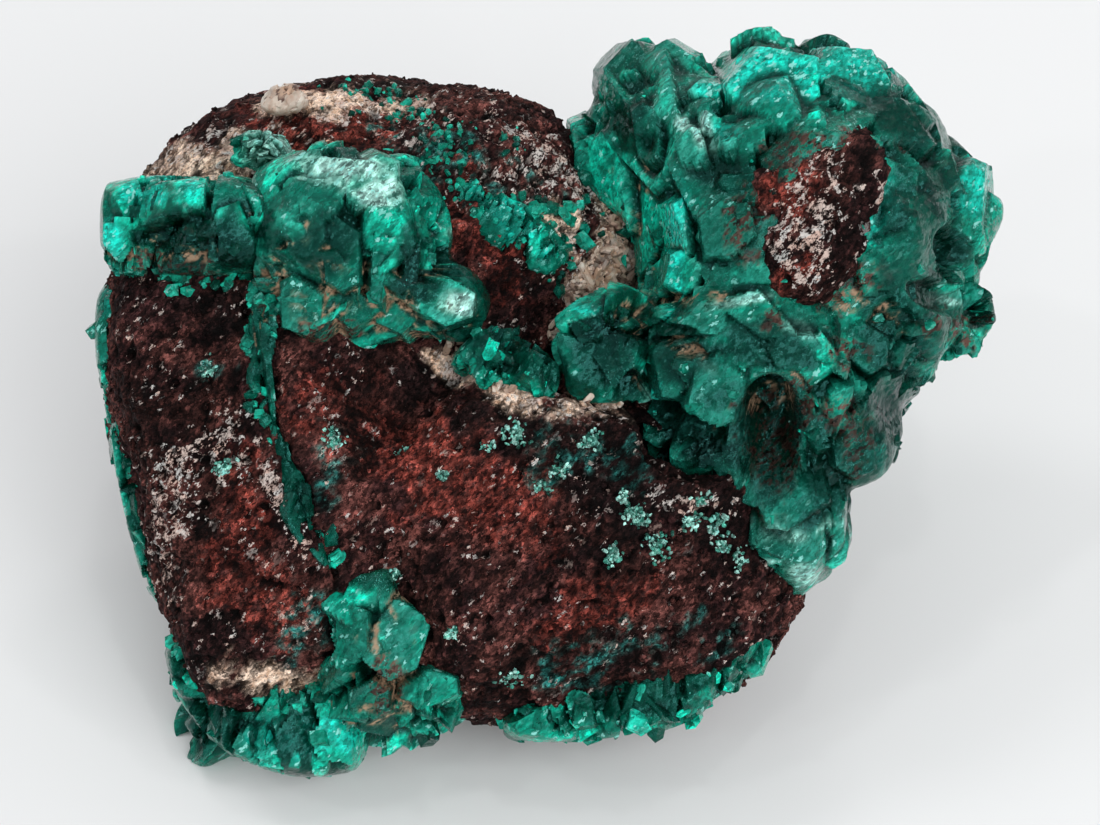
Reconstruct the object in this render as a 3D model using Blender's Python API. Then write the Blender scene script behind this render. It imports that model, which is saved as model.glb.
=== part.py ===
"""Dioptase on brown host rock: a broken hand specimen about 60 mm across.

Three fragments of fine-grained red-brown rock are cemented by green dioptase, which fills the
cracks between them, coats their broken edges and grows as a thick crystal mass on the right.
The part's frame is in metres, +X to the right, +Z up, with its origin at the middle of the flat
broken patch that the stone rests on.

The stone's broken face leans back by FACE_LEAN. Places are easiest to give along that face, so
every place below is (across, up, out) in millimetres from the stone's heart: across is +X, up
runs up the leaning face, and out is the way the face looks.
"""

import math

import bmesh
import bpy
import numpy as np

MM = 0.001
FACE_LEAN = math.radians(45.0)
# The place of the heart, over the middle of the resting patch
HEART = np.array([0.5, -0.4, 19.0])
ACROSS = np.array([1.0, 0.0, 0.0])
UP = np.array([0.0, math.sin(FACE_LEAN), math.cos(FACE_LEAN)])
OUT = np.array([0.0, -math.cos(FACE_LEAN), math.sin(FACE_LEAN)])
FACE_AXES = np.array([ACROSS, UP, OUT])

# How far a rock fragment stays back from a crack, and a bed from what lies in it. The beds in
# the rock are roomier, because its facets are long and cut across a hollow.
HALF_CRACK = 0.2
ROCK_BED_GAP = 0.9
CRYSTAL_BED_GAP = 0.5
# How softly the lumps of one piece run into each other, and a bed's edge into the rock
ROCK_BLEND = 2.0
CRYSTAL_BLEND = 1.0
BED_BLEND = 1.0

# Lumps of the host rock before it broke: (middle), (half sizes), squareness, turn in degrees
ROCK_LUMPS = (
    ((-19.0, -2.8, -4.2), (9.5, 17.2, 12.2), 3.6, 12.0),
    ((1.2, -8.4, -3.0), (15.4, 12.0, 12.0), 2.9, 5.0),
    ((-11.8, 7.8, -8.0), (19.0, 15.6, 12.0), 2.2, 0.0),
    ((-1.0, -7.0, -11.0), (14.0, 12.0, 10.5), 2.4, 0.0),
)

# The cracks between the fragments: (direction across the crack), distance from the heart
LEFT_CRACK = ((0.949, 0.316, 0.0), -16.6)
RIM_CRACK = ((0.0, 0.8, -0.6), 6.6)
VALLEY_CRACK = ((0.478, 0.865, -0.15), 0.93)

# Crystal masses and chips, each a few lumps as above
RIGHT_LUMPS = (
    ((16.2, 11.4, -3.0), (10.6, 12.6, 10.5), 2.4, 0.0),
    ((8.2, 18.6, -4.5), (6.0, 6.4, 6.5), 2.2, 0.0),
    ((3.4, 17.4, -5.0), (2.6, 2.8, 3.0), 2.2, 0.0),
    ((15.2, 17.6, -3.5), (8.0, 8.0, 8.0), 2.2, 0.0),
    ((24.1, 12.8, -5.0), (6.0, 6.2, 7.0), 2.4, 0.0),
    ((14.2, 1.6, 2.0), (8.2, 8.0, 6.6), 2.5, 0.0),
    ((16.0, -7.0, 2.0), (4.2, 4.2, 4.4), 2.4, 0.0),
)
RIM_LUMPS = (
    ((-12.8, 10.2, 4.0), (6.6, 6.6, 5.8), 2.4, 0.0),
    ((-17.2, 4.6, 5.2), (3.0, 5.2, 3.8), 2.2, 0.0),
    ((-8.0, 7.4, 5.0), (3.0, 3.2, 3.6), 2.2, 0.0),
)
FOOT_LUMPS = (
    ((-10.9, -16.2, 3.0), (3.0, 4.0, 4.6), 2.4, 20.0),
    ((-12.2, -13.2, 3.6), (2.8, 2.8, 4.0), 2.4, 20.0),
    ((-9.0, -18.6, 2.4), (4.0, 3.0, 4.4), 2.4, 0.0),
    ((-12.2, -18.8, 2.2), (2.4, 3.0, 3.6), 2.4, 0.0),
)
LEG_LUMPS = (((-22.1, -20.3, -4.8), (2.5, 3.4, 3.8), 3.0, -8.0),)
BLOCK_LUMPS = (((4.1, 4.4, 3.6), (2.9, 3.0, 3.4), 3.4, 12.0),)
PATCH_LUMPS = (((17.4, 12.4, 6.0), (3.8, 5.4, 2.2), 2.6, -20.0),)
KNOB_LUMPS = (((26.4, 6.1, -3.2), (3.1, 2.5, 3.0), 2.3, 0.0),)
SPUR_LUMPS = (((21.4, -2.4, 0.0), (2.0, 1.3, 1.8), 2.3, 30.0),)
QUARTZ_LUMPS = (((-17.7, 20.6, 0.6), (2.3, 1.1, 1.8), 2.6, 4.0),)
CHIP_LUMPS = (((-19.1, 17.2, 3.4), (1.9, 1.1, 1.5), 2.6, 0.0),)

# Crystal seams: stations of (across, up, out, half thickness, half depth)
RIM_BAND = (
    (-29.2, 12.8, 3.2, 1.6, 3.0),
    (-27.0, 12.7, 4.2, 2.3, 4.0),
    (-23.3, 12.6, 4.6, 2.6, 4.4),
    (-20.0, 12.4, 4.8, 2.4, 4.4),
    (-17.4, 11.4, 4.8, 1.4, 3.4),
)
LEFT_SKIN = (
    (-29.4, 9.4, -2.0, 0.5, 3.0),
    (-29.6, 7.2, -2.0, 0.9, 4.6),
    (-29.2, 2.8, -2.4, 0.9, 5.0),
    (-28.4, -2.2, -2.8, 0.8, 5.0),
    (-27.6, -7.0, -3.2, 0.8, 5.0),
    (-25.9, -12.0, -3.6, 0.9, 4.6),
    (-24.9, -13.8, -3.8, 0.5, 3.0),
)
VEIN = (
    (-17.9, -0.4, 4.8, 0.8, 2.6),
    (-17.5, -1.8, 5.0, 1.1, 3.2),
    (-16.7, -4.0, 5.2, 1.3, 3.4),
    (-15.4, -6.6, 5.2, 1.2, 3.4),
    (-14.2, -8.8, 5.0, 0.7, 2.6),
)
BASE_LEFT = (
    (-24.4, -14.4, -1.2, 0.7, 2.6),
    (-22.6, -17.6, -0.8, 1.9, 3.6),
    (-19.8, -20.4, -0.2, 2.5, 4.2),
    (-16.6, -21.4, 0.2, 2.6, 4.4),
    (-14.6, -21.6, 0.0, 2.2, 3.8),
)
BASE_RIGHT = (
    (-3.6, -20.1, 1.6, 0.6, 2.4),
    (0.0, -20.1, 1.8, 0.9, 3.2),
    (4.2, -19.4, 2.0, 1.9, 4.0),
    (8.6, -17.6, 2.2, 2.5, 4.4),
    (12.0, -15.6, 2.0, 2.4, 4.2),
    (14.4, -14.2, 1.6, 1.4, 3.0),
)
VALLEY_VEIN = (
    (-5.6, 4.8, 3.2, 0.8, 2.4),
    (-4.4, 3.6, 3.2, 1.5, 3.0),
    (-2.2, 2.2, 3.2, 1.8, 3.2),
    (0.0, 1.4, 3.2, 1.2, 3.0),
    (0.6, 1.2, 3.2, 0.7, 2.2),
)
STREAK = (
    (-7.4, 14.6, 0.4, 0.5, 1.2),
    (-5.6, 13.6, 0.6, 1.3, 1.6),
    (-2.6, 12.0, 0.6, 1.6, 1.8),
    (-0.2, 10.4, 0.4, 1.2, 1.6),
    (1.0, 9.4, 0.2, 0.5, 1.2),
)
SEAMS = {
    "left_skin": LEFT_SKIN,
    "vein_crystals": VEIN,
    "base_left_crystals": BASE_LEFT,
    "base_right_crystals": BASE_RIGHT,
    "valley_crystals": VALLEY_VEIN,
    "dome_streak": STREAK,
}
SEAM_SIDES = 12

# Finish: colour, roughness and how clear it is
FINISHES = {
    "host_rock": ((0.045, 0.02, 0.018), 0.85, 0.0),
    "dioptase": ((0.004, 0.16, 0.11), 0.25, 0.6),
    "quartz": ((0.75, 0.58, 0.4), 0.5, 0.0),
}


def to_part(places):
    """Places given along the face, in millimetres, as places in the part's frame in metres."""
    return (np.asarray(places) @ FACE_AXES + HEART) * MM


def above_floor(places):
    """Height over the surface that the stone rests on."""
    return places @ FACE_AXES[:, 2] + HEART[2]


def lump_distance(places, lump):
    """How far places lie outside one rounded block, along the line to its middle."""
    middle, half, squareness, turn = lump
    away = places - np.array(middle)
    c, s = math.cos(math.radians(turn)), math.sin(math.radians(turn))
    turned = np.stack(
        [away[:, 0] * c + away[:, 1] * s, away[:, 1] * c - away[:, 0] * s, away[:, 2]],
        axis=1,
    )
    powers = (np.abs(turned / np.array(half)) ** squareness).sum(axis=1)
    share = np.maximum(powers ** (1.0 / squareness), 1e-6)
    return np.linalg.norm(away, axis=1) * (1.0 - 1.0 / share)


def smooth_join(first, second, blend):
    """The nearer of two distances, run together over the blend length."""
    share = np.clip(0.5 + 0.5 * (second - first) / blend, 0.0, 1.0)
    return second * (1.0 - share) + first * share - blend * share * (1.0 - share)


def ripple(places, length, height, seed):
    """Gentle unevenness: waves of about one length that cross at random."""
    rng = np.random.default_rng(seed)
    ways = rng.normal(size=(7, 3))
    ways /= np.linalg.norm(ways, axis=1)[:, None]
    ways *= 2 * math.pi / (length * rng.uniform(0.7, 1.4, (7, 1)))
    starts = rng.uniform(0, 2 * math.pi, 7)
    return height * np.sin(places @ ways.T + starts).mean(axis=1)


def clump(lumps, blend, wave, height, seed):
    """The shape of lumps that run into each other, as a function that measures distance."""

    def distance(places):
        nearest = lump_distance(places, lumps[0])
        for lump in lumps[1:]:
            nearest = smooth_join(nearest, lump_distance(places, lump), blend)
        return nearest + ripple(places, wave, height, seed)

    return distance


def crystal(lumps, seed):
    """A clump with the small unevenness of a crystal mass."""
    return clump(lumps, CRYSTAL_BLEND, 3.5, 0.5, seed)


def seam(stations):
    """The shape of a seam: an oval section carried along its stations."""
    rows = np.array(stations)

    def distance(places):
        nearest = np.full(len(places), np.inf)
        for start, end in zip(rows[:-1], rows[1:]):
            run = end[:2] - start[:2]
            share = np.clip((places[:, :2] - start[:2]) @ run / (run @ run), 0.0, 1.0)
            here = start + share[:, None] * (end - start)
            aside = np.linalg.norm(places[:, :2] - here[:, :2], axis=1)
            deep = places[:, 2] - here[:, 2]
            oval = np.sqrt((aside / here[:, 3]) ** 2 + (deep / here[:, 4]) ** 2)
            nearest = np.minimum(nearest, (oval - 1.0) * here[:, 3])
        return nearest

    return distance


def past(places, crack):
    """How far places lie past a crack."""
    direction, start = crack
    return places @ np.array(direction) - start


def left_of_crack(places):
    """Negative on the left fragment's side of its cracks."""
    return np.maximum(past(places, LEFT_CRACK), past(places, RIM_CRACK))


def front_of_valley(places):
    """Negative on the front fragment's side of its cracks."""
    return np.maximum(-past(places, LEFT_CRACK), past(places, VALLEY_CRACK))


def behind_both(places):
    """Negative where the rock is neither the left nor the front fragment."""
    return np.maximum(-left_of_crack(places), -front_of_valley(places))


def bedded(shape, gap, *others):
    """A shape with beds cut in it for others, soft at their edges."""

    def distance(places):
        outside = shape(places)
        for other in others:
            bed = gap - other(places)
            outside = -smooth_join(-outside, -bed, BED_BLEND)
        return outside

    return distance


def standing(shape):
    """A shape cut flat where it meets the surface that the stone rests on."""

    def distance(places):
        return np.maximum(shape(places), -above_floor(places))

    return distance


# What gives way to what: seams lie whole, crystals give way to seams, and rock to both
seam_shapes = [seam(stations) for stations in SEAMS.values()]
patch = crystal(PATCH_LUMPS, 4)
knob = crystal(KNOB_LUMPS, 5)
spur = crystal(SPUR_LUMPS, 6)
block = bedded(crystal(BLOCK_LUMPS, 7), CRYSTAL_BED_GAP, *seam_shapes)
leg = standing(bedded(crystal(LEG_LUMPS, 8), CRYSTAL_BED_GAP, *seam_shapes))
quartz = crystal(QUARTZ_LUMPS, 9)
chip = crystal(CHIP_LUMPS, 10)
rim = bedded(crystal(RIM_LUMPS, 11), CRYSTAL_BED_GAP, *seam_shapes)
foot = bedded(crystal(FOOT_LUMPS, 12), CRYSTAL_BED_GAP, *seam_shapes)
right_mass = clump(RIGHT_LUMPS, CRYSTAL_BLEND, 5.0, 1.2, 13)
right = bedded(right_mass, CRYSTAL_BED_GAP, patch, block, *seam_shapes)


whole_rock = clump(ROCK_LUMPS, ROCK_BLEND, 9.0, 1.2, 3)
crystals_in_rock = (rim, seam(RIM_BAND), foot, right_mass, knob, spur, leg, block, quartz, chip)
rock = standing(bedded(whole_rock, ROCK_BED_GAP, *crystals_in_rock, *seam_shapes))


def fragment(side):
    """The host rock on one side of its cracks."""

    def distance(places):
        return np.maximum(rock(places), side(places) + HALF_CRACK)

    return distance


def surface_reach(shape, middle, directions):
    """How far the surface lies from the middle in each direction, by steps and halvings."""
    step, furthest = 0.3, 45.0
    reach = np.full(len(directions), furthest)
    inside = np.ones(len(directions), bool)
    for distance in np.arange(step, furthest, step):
        outside = shape(middle + distance * directions) > 0
        reach[inside & outside] = distance
        inside &= ~outside
        if not inside.any():
            break
    near, far = reach - step, reach.copy()
    for _ in range(12):
        halfway = (near + far) / 2
        outside = shape(middle + halfway[:, None] * directions) > 0
        far = np.where(outside, halfway, far)
        near = np.where(outside, near, halfway)
    return near


def material(finish):
    """One Principled material for each finish."""
    made = bpy.data.materials.get(finish)
    if made is None:
        colour, roughness, clear = FINISHES[finish]
        made = bpy.data.materials.new(finish)
        made.use_nodes = True
        shader = made.node_tree.nodes["Principled BSDF"]
        shader.inputs["Base Color"].default_value = (*colour, 1.0)
        shader.inputs["Roughness"].default_value = roughness
        shader.inputs["Metallic"].default_value = 0.0
        shader.inputs["Transmission Weight"].default_value = clear
    return made


def add_object(name, bm, finish):
    """Makes a bmesh a named object with its finish."""
    mesh = bpy.data.meshes.new(name)
    bm.to_mesh(mesh)
    bm.free()
    made = bpy.data.objects.new(name, mesh)
    made.data.materials.append(material(finish))
    bpy.context.scene.collection.objects.link(made)
    return made


def grow(name, middle, shape, finish, fineness):
    """A solid pushed out from its middle to the surface of its shape in every direction."""
    bm = bmesh.new()
    bmesh.ops.create_icosphere(bm, subdivisions=fineness, radius=1.0)
    directions = np.array([vert.co[:] for vert in bm.verts])
    directions /= np.linalg.norm(directions, axis=1)[:, None]
    middle = np.array(middle)
    reach = surface_reach(shape, middle, directions)
    places = to_part(middle + reach[:, None] * directions)
    for vert, place in zip(bm.verts, places):
        vert.co = place
    return add_object(name, bm, finish)


def lay_seam(name, stations, finish, seed):
    """A seam: an oval ring at each station, bridged to the next and closed at both ends."""
    rows = np.array(stations)
    rng = np.random.default_rng(seed)
    runs = np.gradient(rows[:, :2], axis=0)
    runs /= np.linalg.norm(runs, axis=1)[:, None]
    bm = bmesh.new()
    loops = []
    for (across, up, out, thick, deep), (run_across, run_up) in zip(rows, runs):
        ring = []
        for side in range(SEAM_SIDES):
            angle = 2 * math.pi * side / SEAM_SIDES
            size = rng.uniform(0.86, 1.0)
            aside = thick * size * math.cos(angle)
            place = (
                across - run_up * aside,
                up + run_across * aside,
                out + deep * size * math.sin(angle),
            )
            ring.append(bm.verts.new(to_part(place)))
        loops.append([bm.edges.new(pair) for pair in zip(ring, ring[1:] + ring[:1])])
    for first, second in zip(loops[:-1], loops[1:]):
        bmesh.ops.bridge_loops(bm, edges=first + second)
    bmesh.ops.holes_fill(bm, edges=loops[0] + loops[-1])
    bmesh.ops.triangulate(bm, faces=bm.faces)
    bmesh.ops.recalc_face_normals(bm, faces=bm.faces)
    return add_object(name, bm, finish)


def unite(body, added):
    """Joins two overlapping solids into one and removes the second."""
    union = body.modifiers.new("union", "BOOLEAN")
    union.operation = "UNION"
    union.object = added
    graph = bpy.context.evaluated_depsgraph_get()
    joined = bpy.data.meshes.new_from_object(body.evaluated_get(graph))
    body.modifiers.clear()
    body.data = joined
    bpy.data.objects.remove(added)


def host_rock():
    """The three fragments, and the piece of the same rock that the right mass has kept."""
    grow("rock_left", (-19.0, -2.0, -4.0), fragment(left_of_crack), "host_rock", 4)
    grow("rock_front", (2.0, -9.5, -4.0), fragment(front_of_valley), "host_rock", 4)
    grow("rock_dome", (-6.5, 9.0, -7.0), fragment(behind_both), "host_rock", 4)
    grow("rock_patch", PATCH_LUMPS[0][0], patch, "host_rock", 3)


def crystal_masses():
    """The masses of crystals grown together: at the rim, at the vein's foot, on the right."""
    cluster = grow("rim_crystals", RIM_LUMPS[0][0], rim, "dioptase", 3)
    unite(cluster, lay_seam("rim_band", RIM_BAND, "dioptase", 21))
    grow("foot_crystals", (-10.6, -16.4, 2.9), foot, "dioptase", 3)
    mass = grow("right_crystals", (15.0, 8.0, -3.0), right, "dioptase", 4)
    unite(mass, grow("knob", KNOB_LUMPS[0][0], knob, "dioptase", 3))
    unite(mass, grow("spur", SPUR_LUMPS[0][0], spur, "dioptase", 2))


def single_pieces():
    """Crystals and chips that stand alone."""
    grow("leg_crystal", LEG_LUMPS[0][0], leg, "dioptase", 3)
    grow("valley_block", BLOCK_LUMPS[0][0], block, "dioptase", 3)
    grow("dome_quartz", QUARTZ_LUMPS[0][0], quartz, "quartz", 2)
    grow("dome_chip", CHIP_LUMPS[0][0], chip, "dioptase", 2)


def main():
    for old in list(bpy.data.objects):
        bpy.data.objects.remove(old)
    host_rock()
    crystal_masses()
    single_pieces()
    for seed, (name, stations) in enumerate(SEAMS.items(), start=31):
        lay_seam(name, stations, "dioptase", seed)


main()
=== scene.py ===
import math

import bpy
import numpy as np
from mathutils import Matrix, Vector


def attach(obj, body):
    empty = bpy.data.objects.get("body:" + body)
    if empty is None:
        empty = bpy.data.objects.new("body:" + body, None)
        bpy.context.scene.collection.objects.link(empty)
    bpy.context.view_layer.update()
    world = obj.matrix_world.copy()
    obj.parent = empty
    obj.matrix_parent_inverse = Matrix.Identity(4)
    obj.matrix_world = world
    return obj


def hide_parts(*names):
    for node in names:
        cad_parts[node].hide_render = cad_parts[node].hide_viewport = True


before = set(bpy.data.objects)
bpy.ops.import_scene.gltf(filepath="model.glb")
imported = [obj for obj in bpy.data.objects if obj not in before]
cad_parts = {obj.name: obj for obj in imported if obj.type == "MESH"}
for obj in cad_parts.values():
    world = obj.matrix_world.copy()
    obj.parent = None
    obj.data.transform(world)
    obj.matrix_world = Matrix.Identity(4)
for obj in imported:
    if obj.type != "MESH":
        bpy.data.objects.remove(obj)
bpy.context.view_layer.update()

bl_info = {
    "name": "Dioptase specimen",
    "version": (1, 0, 0),
    "blender": (4, 5, 0),
    "location": "3D View > Sidebar > Dioptase",
    "description": "Green dioptase crystals on brown host rock, with floor, light and camera",
    "category": "Add Mesh",
}

# Places are (across, up, out) along the stone's leaning broken face, in millimetres from its heart
MM = 0.001
FACE_LEAN = math.radians(45.0)
HEART = np.array([0.5, -0.4, 19.0])
ACROSS = np.array([1.0, 0.0, 0.0])
UP = np.array([0.0, math.sin(FACE_LEAN), math.cos(FACE_LEAN)])
OUT = np.array([0.0, -math.cos(FACE_LEAN), math.sin(FACE_LEAN)])
FACE_AXES = np.array([ACROSS, UP, OUT])

# The photograph: its size and middle in pixels, and how it saw the stone
PHOTO_MIDDLE = (550.0, 412.5)
PHOTO_SCALE = 15.0
PHOTO_DISTANCE = 173.0
LENS = 85.0
SENSOR_WIDTH = 36.0

# Lumps: (middle), (half sizes), squareness, turn in degrees. They follow the frame's own lumps, and
# are drawn in a little where the photograph shows less.
ROCK_LUMPS = (
    ((-18.8, -2.8, -4.2), (9.2, 17.2, 12.2), 3.6, 12.0),
    ((1.2, -8.4, -3.0), (15.4, 12.0, 12.0), 2.9, 5.0),
    ((-11.8, 7.8, -8.0), (19.0, 15.6, 12.0), 2.2, 0.0),
    ((-1.0, -7.0, -11.0), (14.0, 12.0, 10.5), 2.4, 0.0),
    ((-12.6, 2.8, 2.6), (4.6, 3.4, 5.6), 2.2, 0.0),
)
LEFT_CRACK = ((0.949, 0.316, 0.0), -16.6)
RIM_CRACK = ((0.0, 0.8, -0.6), 6.6)
VALLEY_CRACK = ((0.478, 0.865, -0.15), 0.93)
RIGHT_LUMPS = (
    ((16.7, 11.4, -3.0), (10.1, 12.6, 10.5), 2.4, 0.0),
    ((8.7, 18.4, -4.5), (5.5, 6.1, 6.5), 2.2, 0.0),
    ((3.4, 17.4, -5.0), (2.6, 2.8, 3.0), 2.2, 0.0),
    ((15.2, 17.4, -3.5), (7.6, 7.1, 8.0), 2.2, 0.0),
    ((23.8, 12.6, -5.0), (5.2, 6.0, 7.0), 2.4, 0.0),
    ((13.9, 1.6, 2.0), (7.8, 7.8, 6.6), 2.5, 0.0),
    ((15.6, -6.7, 2.0), (3.9, 3.9, 4.4), 2.4, 0.0),
)
RIM_LUMPS = (
    ((-13.2, 10.8, 4.0), (5.7, 5.8, 5.8), 2.6, 0.0),
    ((-7.4, 7.3, 5.0), (2.3, 2.3, 3.6), 2.2, 0.0),
)
FOOT_LUMPS = (
    ((-10.9, -16.2, 3.0), (3.0, 4.0, 4.6), 2.4, 20.0),
    ((-12.2, -13.2, 3.6), (2.8, 2.8, 4.0), 2.4, 20.0),
    ((-9.0, -18.6, 2.4), (4.0, 3.0, 4.4), 2.4, 0.0),
    ((-12.2, -18.8, 2.2), (2.4, 3.0, 3.6), 2.4, 0.0),
)
LEG_LUMPS = (((-22.1, -20.3, -4.8), (2.5, 3.4, 3.8), 3.0, -8.0),)
BLOCK_LUMPS = (((4.1, 4.4, 3.6), (2.9, 3.0, 3.4), 3.4, 12.0),)
PATCH_LUMPS = (
    ((17.4, 12.4, 6.5), (3.4, 6.0, 2.4), 2.6, -20.0),
    ((16.6, 15.4, 6.4), (4.2, 1.8, 2.0), 2.4, 20.0),
)
KNOB_LUMPS = (((26.4, 6.1, -3.2), (3.1, 2.5, 3.0), 2.3, 0.0),)
SPUR_LUMPS = (((21.4, -2.4, 0.0), (2.0, 1.3, 1.8), 2.3, 30.0),)
QUARTZ_LUMPS = (((-17.6, 20.8, 0.4), (1.2, 0.7, 1.1), 2.6, 4.0),)
CHIP_LUMPS = (((-18.9, 17.2, 3.2), (1.8, 0.9, 1.2), 2.6, 0.0),)

# Stations along a seam: across, up, out, half thickness, half depth
RIM_BAND = (
    (-29.4, 12.0, 2.6, 1.8, 3.0), (-27.0, 12.0, 3.4, 2.2, 4.0), (-23.3, 12.0, 3.8, 2.4, 4.4),
    (-20.0, 12.0, 4.0, 2.3, 4.4), (-17.4, 11.4, 4.0, 1.6, 3.4),
)
LEFT_SKIN = (
    (-28.8, 9.4, -2.0, 0.5, 3.0), (-29.0, 7.2, -2.0, 0.9, 4.6), (-28.6, 2.8, -2.4, 0.9, 5.0),
    (-27.9, -2.2, -2.8, 0.8, 5.0), (-27.1, -7.0, -3.2, 0.8, 5.0), (-25.5, -12.0, -3.6, 0.9, 4.6),
    (-24.4, -13.8, -3.8, 0.5, 3.0),
)
VEIN = (
    (-18.6, 7.6, 5.4, 1.0, 2.8), (-18.4, 3.4, 5.2, 1.2, 3.2), (-17.9, -0.6, 5.0, 1.0, 3.2),
    (-16.8, -4.0, 5.2, 1.3, 3.4), (-15.4, -6.6, 5.2, 1.1, 3.4), (-14.0, -9.2, 5.0, 1.0, 2.6),
    (-13.4, -10.6, 4.8, 0.8, 2.2),
)
BASE_LEFT = (
    (-24.4, -13.8, -1.2, 0.7, 2.6), (-22.6, -17.0, -0.8, 1.9, 3.6), (-19.8, -19.6, -0.2, 2.4, 4.2),
    (-16.6, -20.6, 0.2, 2.5, 4.4), (-14.0, -20.8, 0.0, 2.2, 3.8), (-11.6, -20.6, -0.2, 1.6, 3.2),
)
BASE_RIGHT = (
    (-3.6, -20.0, 1.6, 0.6, 2.4), (0.0, -19.9, 1.8, 0.9, 3.2), (4.0, -18.9, 2.0, 1.8, 4.0),
    (8.3, -17.0, 2.2, 2.4, 4.4), (11.6, -15.0, 2.0, 2.3, 4.2), (13.9, -13.8, 1.6, 1.3, 3.0),
)
VALLEY_VEIN = (
    (-5.6, 4.8, 3.2, 0.8, 2.4), (-4.4, 3.6, 3.2, 1.5, 3.0), (-2.2, 2.2, 3.2, 1.8, 3.2),
    (0.0, 1.4, 3.2, 1.2, 3.0), (0.6, 1.2, 3.2, 0.7, 2.2),
)
STREAK = (
    (-7.4, 14.6, 0.4, 0.5, 1.2), (-5.6, 13.6, 0.6, 1.3, 1.6), (-2.6, 12.0, 0.6, 1.6, 1.8),
    (-0.2, 10.4, 0.4, 1.2, 1.6), (1.0, 9.4, 0.2, 0.5, 1.2),
)
SEAMS = (RIM_BAND, LEFT_SKIN, VEIN, BASE_LEFT, BASE_RIGHT, VALLEY_VEIN, STREAK)

# Regions seen in the photograph: (x, y) of the middle and (half width, half height) in its
# pixels, and the turn in degrees. Hollows have their depth in millimetres as well, and rosettes
# are only middles.
TAN_REGIONS = (
    (205, 165, 100, 26, -6), (275, 682, 62, 20, 8), (320, 100, 90, 18, 0), (606, 285, 40, 40, 15),
    (480, 375, 60, 16, 28), (600, 398, 50, 12, -20), (560, 225, 26, 20, 20), (622, 225, 26, 40, 10),
)
RED_REGIONS = (
    (430, 470, 120, 60, 25), (240, 520, 40, 60, 5), (270, 600, 50, 40, 20), (590, 610, 60, 30, -20),
    (330, 130, 90, 34, 0), (480, 230, 60, 60, 30), (790, 190, 24, 28, 0), (806, 270, 26, 18, 0),
)
# Dark rock, and painted shadow where the right mass hangs over the rock
DARK_AND_SHADOW_REGIONS = (
    (650, 470, 110, 60, 10), (225, 305, 50, 30, 0), (690, 440, 50, 50, 0), (440, 190, 60, 40, 20),
    (500, 420, 60, 30, 20), (390, 370, 60, 30, 10), (470, 350, 16, 26, -30), (635, 300, 30, 40, 0),
    (600, 160, 40, 30, 20),
)
TEAL_REGIONS = (
    (590, 452, 60, 26, 10), (420, 150, 40, 30, 0), (620, 660, 80, 26, -14), (505, 200, 50, 26, 35),
    (215, 367, 18, 12, 0), (300, 620, 26, 30, 0), (330, 470, 16, 40, 15),
)
PALE_REGIONS = (
    (232, 440, 30, 30, 0), (350, 105, 110, 22, 5), (535, 165, 50, 26, 35), (600, 190, 50, 50, 0),
    (600, 270, 60, 60, 20), (820, 200, 60, 80, 0), (282, 505, 60, 8, 67), (220, 150, 90, 26, -10),
    (500, 385, 60, 14, 25), (610, 400, 40, 12, -20), (705, 505, 50, 9, 5), (165, 520, 20, 60, 15),
)
# Deep green crystal, and painted shade in hollows and where the right mass hangs over the rock
DEEP_AND_SHADED_REGIONS = (
    (892, 120, 50, 18, 25), (908, 142, 26, 20, 0), (745, 186, 34, 22, 0),
    (606, 348, 36, 42, 0), (404, 268, 20, 34, 12), (200, 235, 60, 24, 0),
    (330, 250, 30, 40, 0), (690, 350, 40, 24, 0), (770, 345, 40, 24, 20), (935, 250, 22, 30, 0),
    (640, 140, 16, 40, 0), (760, 430, 60, 60, 0), (300, 430, 30, 60, 20), (660, 690, 90, 26, -10),
    (215, 715, 30, 26, 0), (880, 300, 30, 40, 0), (520, 360, 60, 20, 20), (620, 120, 26, 20, 0),
    (700, 480, 60, 30, 0), (590, 380, 20, 14, 0), (300, 470, 50, 110, 20), (258, 345, 20, 60, 0),
    (888, 210, 26, 40, 0), (890, 330, 50, 50, 0), (880, 430, 40, 50, 0), (905, 235, 30, 60, 0),
    (960, 310, 30, 20, 0), (830, 480, 50, 40, 0),
)
ROCK_HOLLOWS = ((692, 442, 50, 36, 14, 1.8), (470, 350, 12, 22, -30, 1.6), (640, 300, 24, 30, 0, 1.6))
VALLEY_QUARTZ = (
    (612, 250, 16, 40, 15), (478, 372, 40, 9, 32), (600, 396, 42, 8, -22), (590, 290, 40, 14, -32),
    (455, 340, 8, 18, 0), (640, 215, 12, 16, 0), (570, 315, 24, 10, -30),
)
VALLEY_CRYSTALS = ((560, 232, 34, 50, 20), (640, 232, 22, 34, 0), (520, 352, 50, 12, 30))
RIM_FRINGE = ((200, 268, 60, 20, 0), (262, 300, 14, 50, 8), (262, 400, 10, 40, -8))
DOME_SPECKS = ((505, 215, 80, 26, 40), (445, 165, 34, 34, 0), (420, 120, 90, 26, 15))
ROSETTES = (
    (403, 452), (505, 435), (443, 475), (537, 487), (213, 367), (222, 467), (398, 575), (455, 632),
    (510, 680), (515, 435), (640, 520), (657, 545), (690, 522), (722, 547), (625, 500), (632, 512),
    (614, 555), (330, 440), (560, 470), (590, 440), (485, 445), (700, 500), (715, 525), (740, 560),
)
HOLLOWS = (
    (678, 436, 44, 34, 10, 4.5), (770, 432, 34, 56, 0, 5.0), (700, 430, 70, 20, 25, 2.5),
    (822, 222, 46, 66, 14, 1.3), (940, 250, 18, 20, 0, 2.0), (925, 296, 30, 14, 20, 1.5),
    (662, 330, 50, 12, 0, 1.5), (628, 395, 16, 30, 20, 2.0), (560, 165, 24, 34, 0, 1.5),
)
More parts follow.
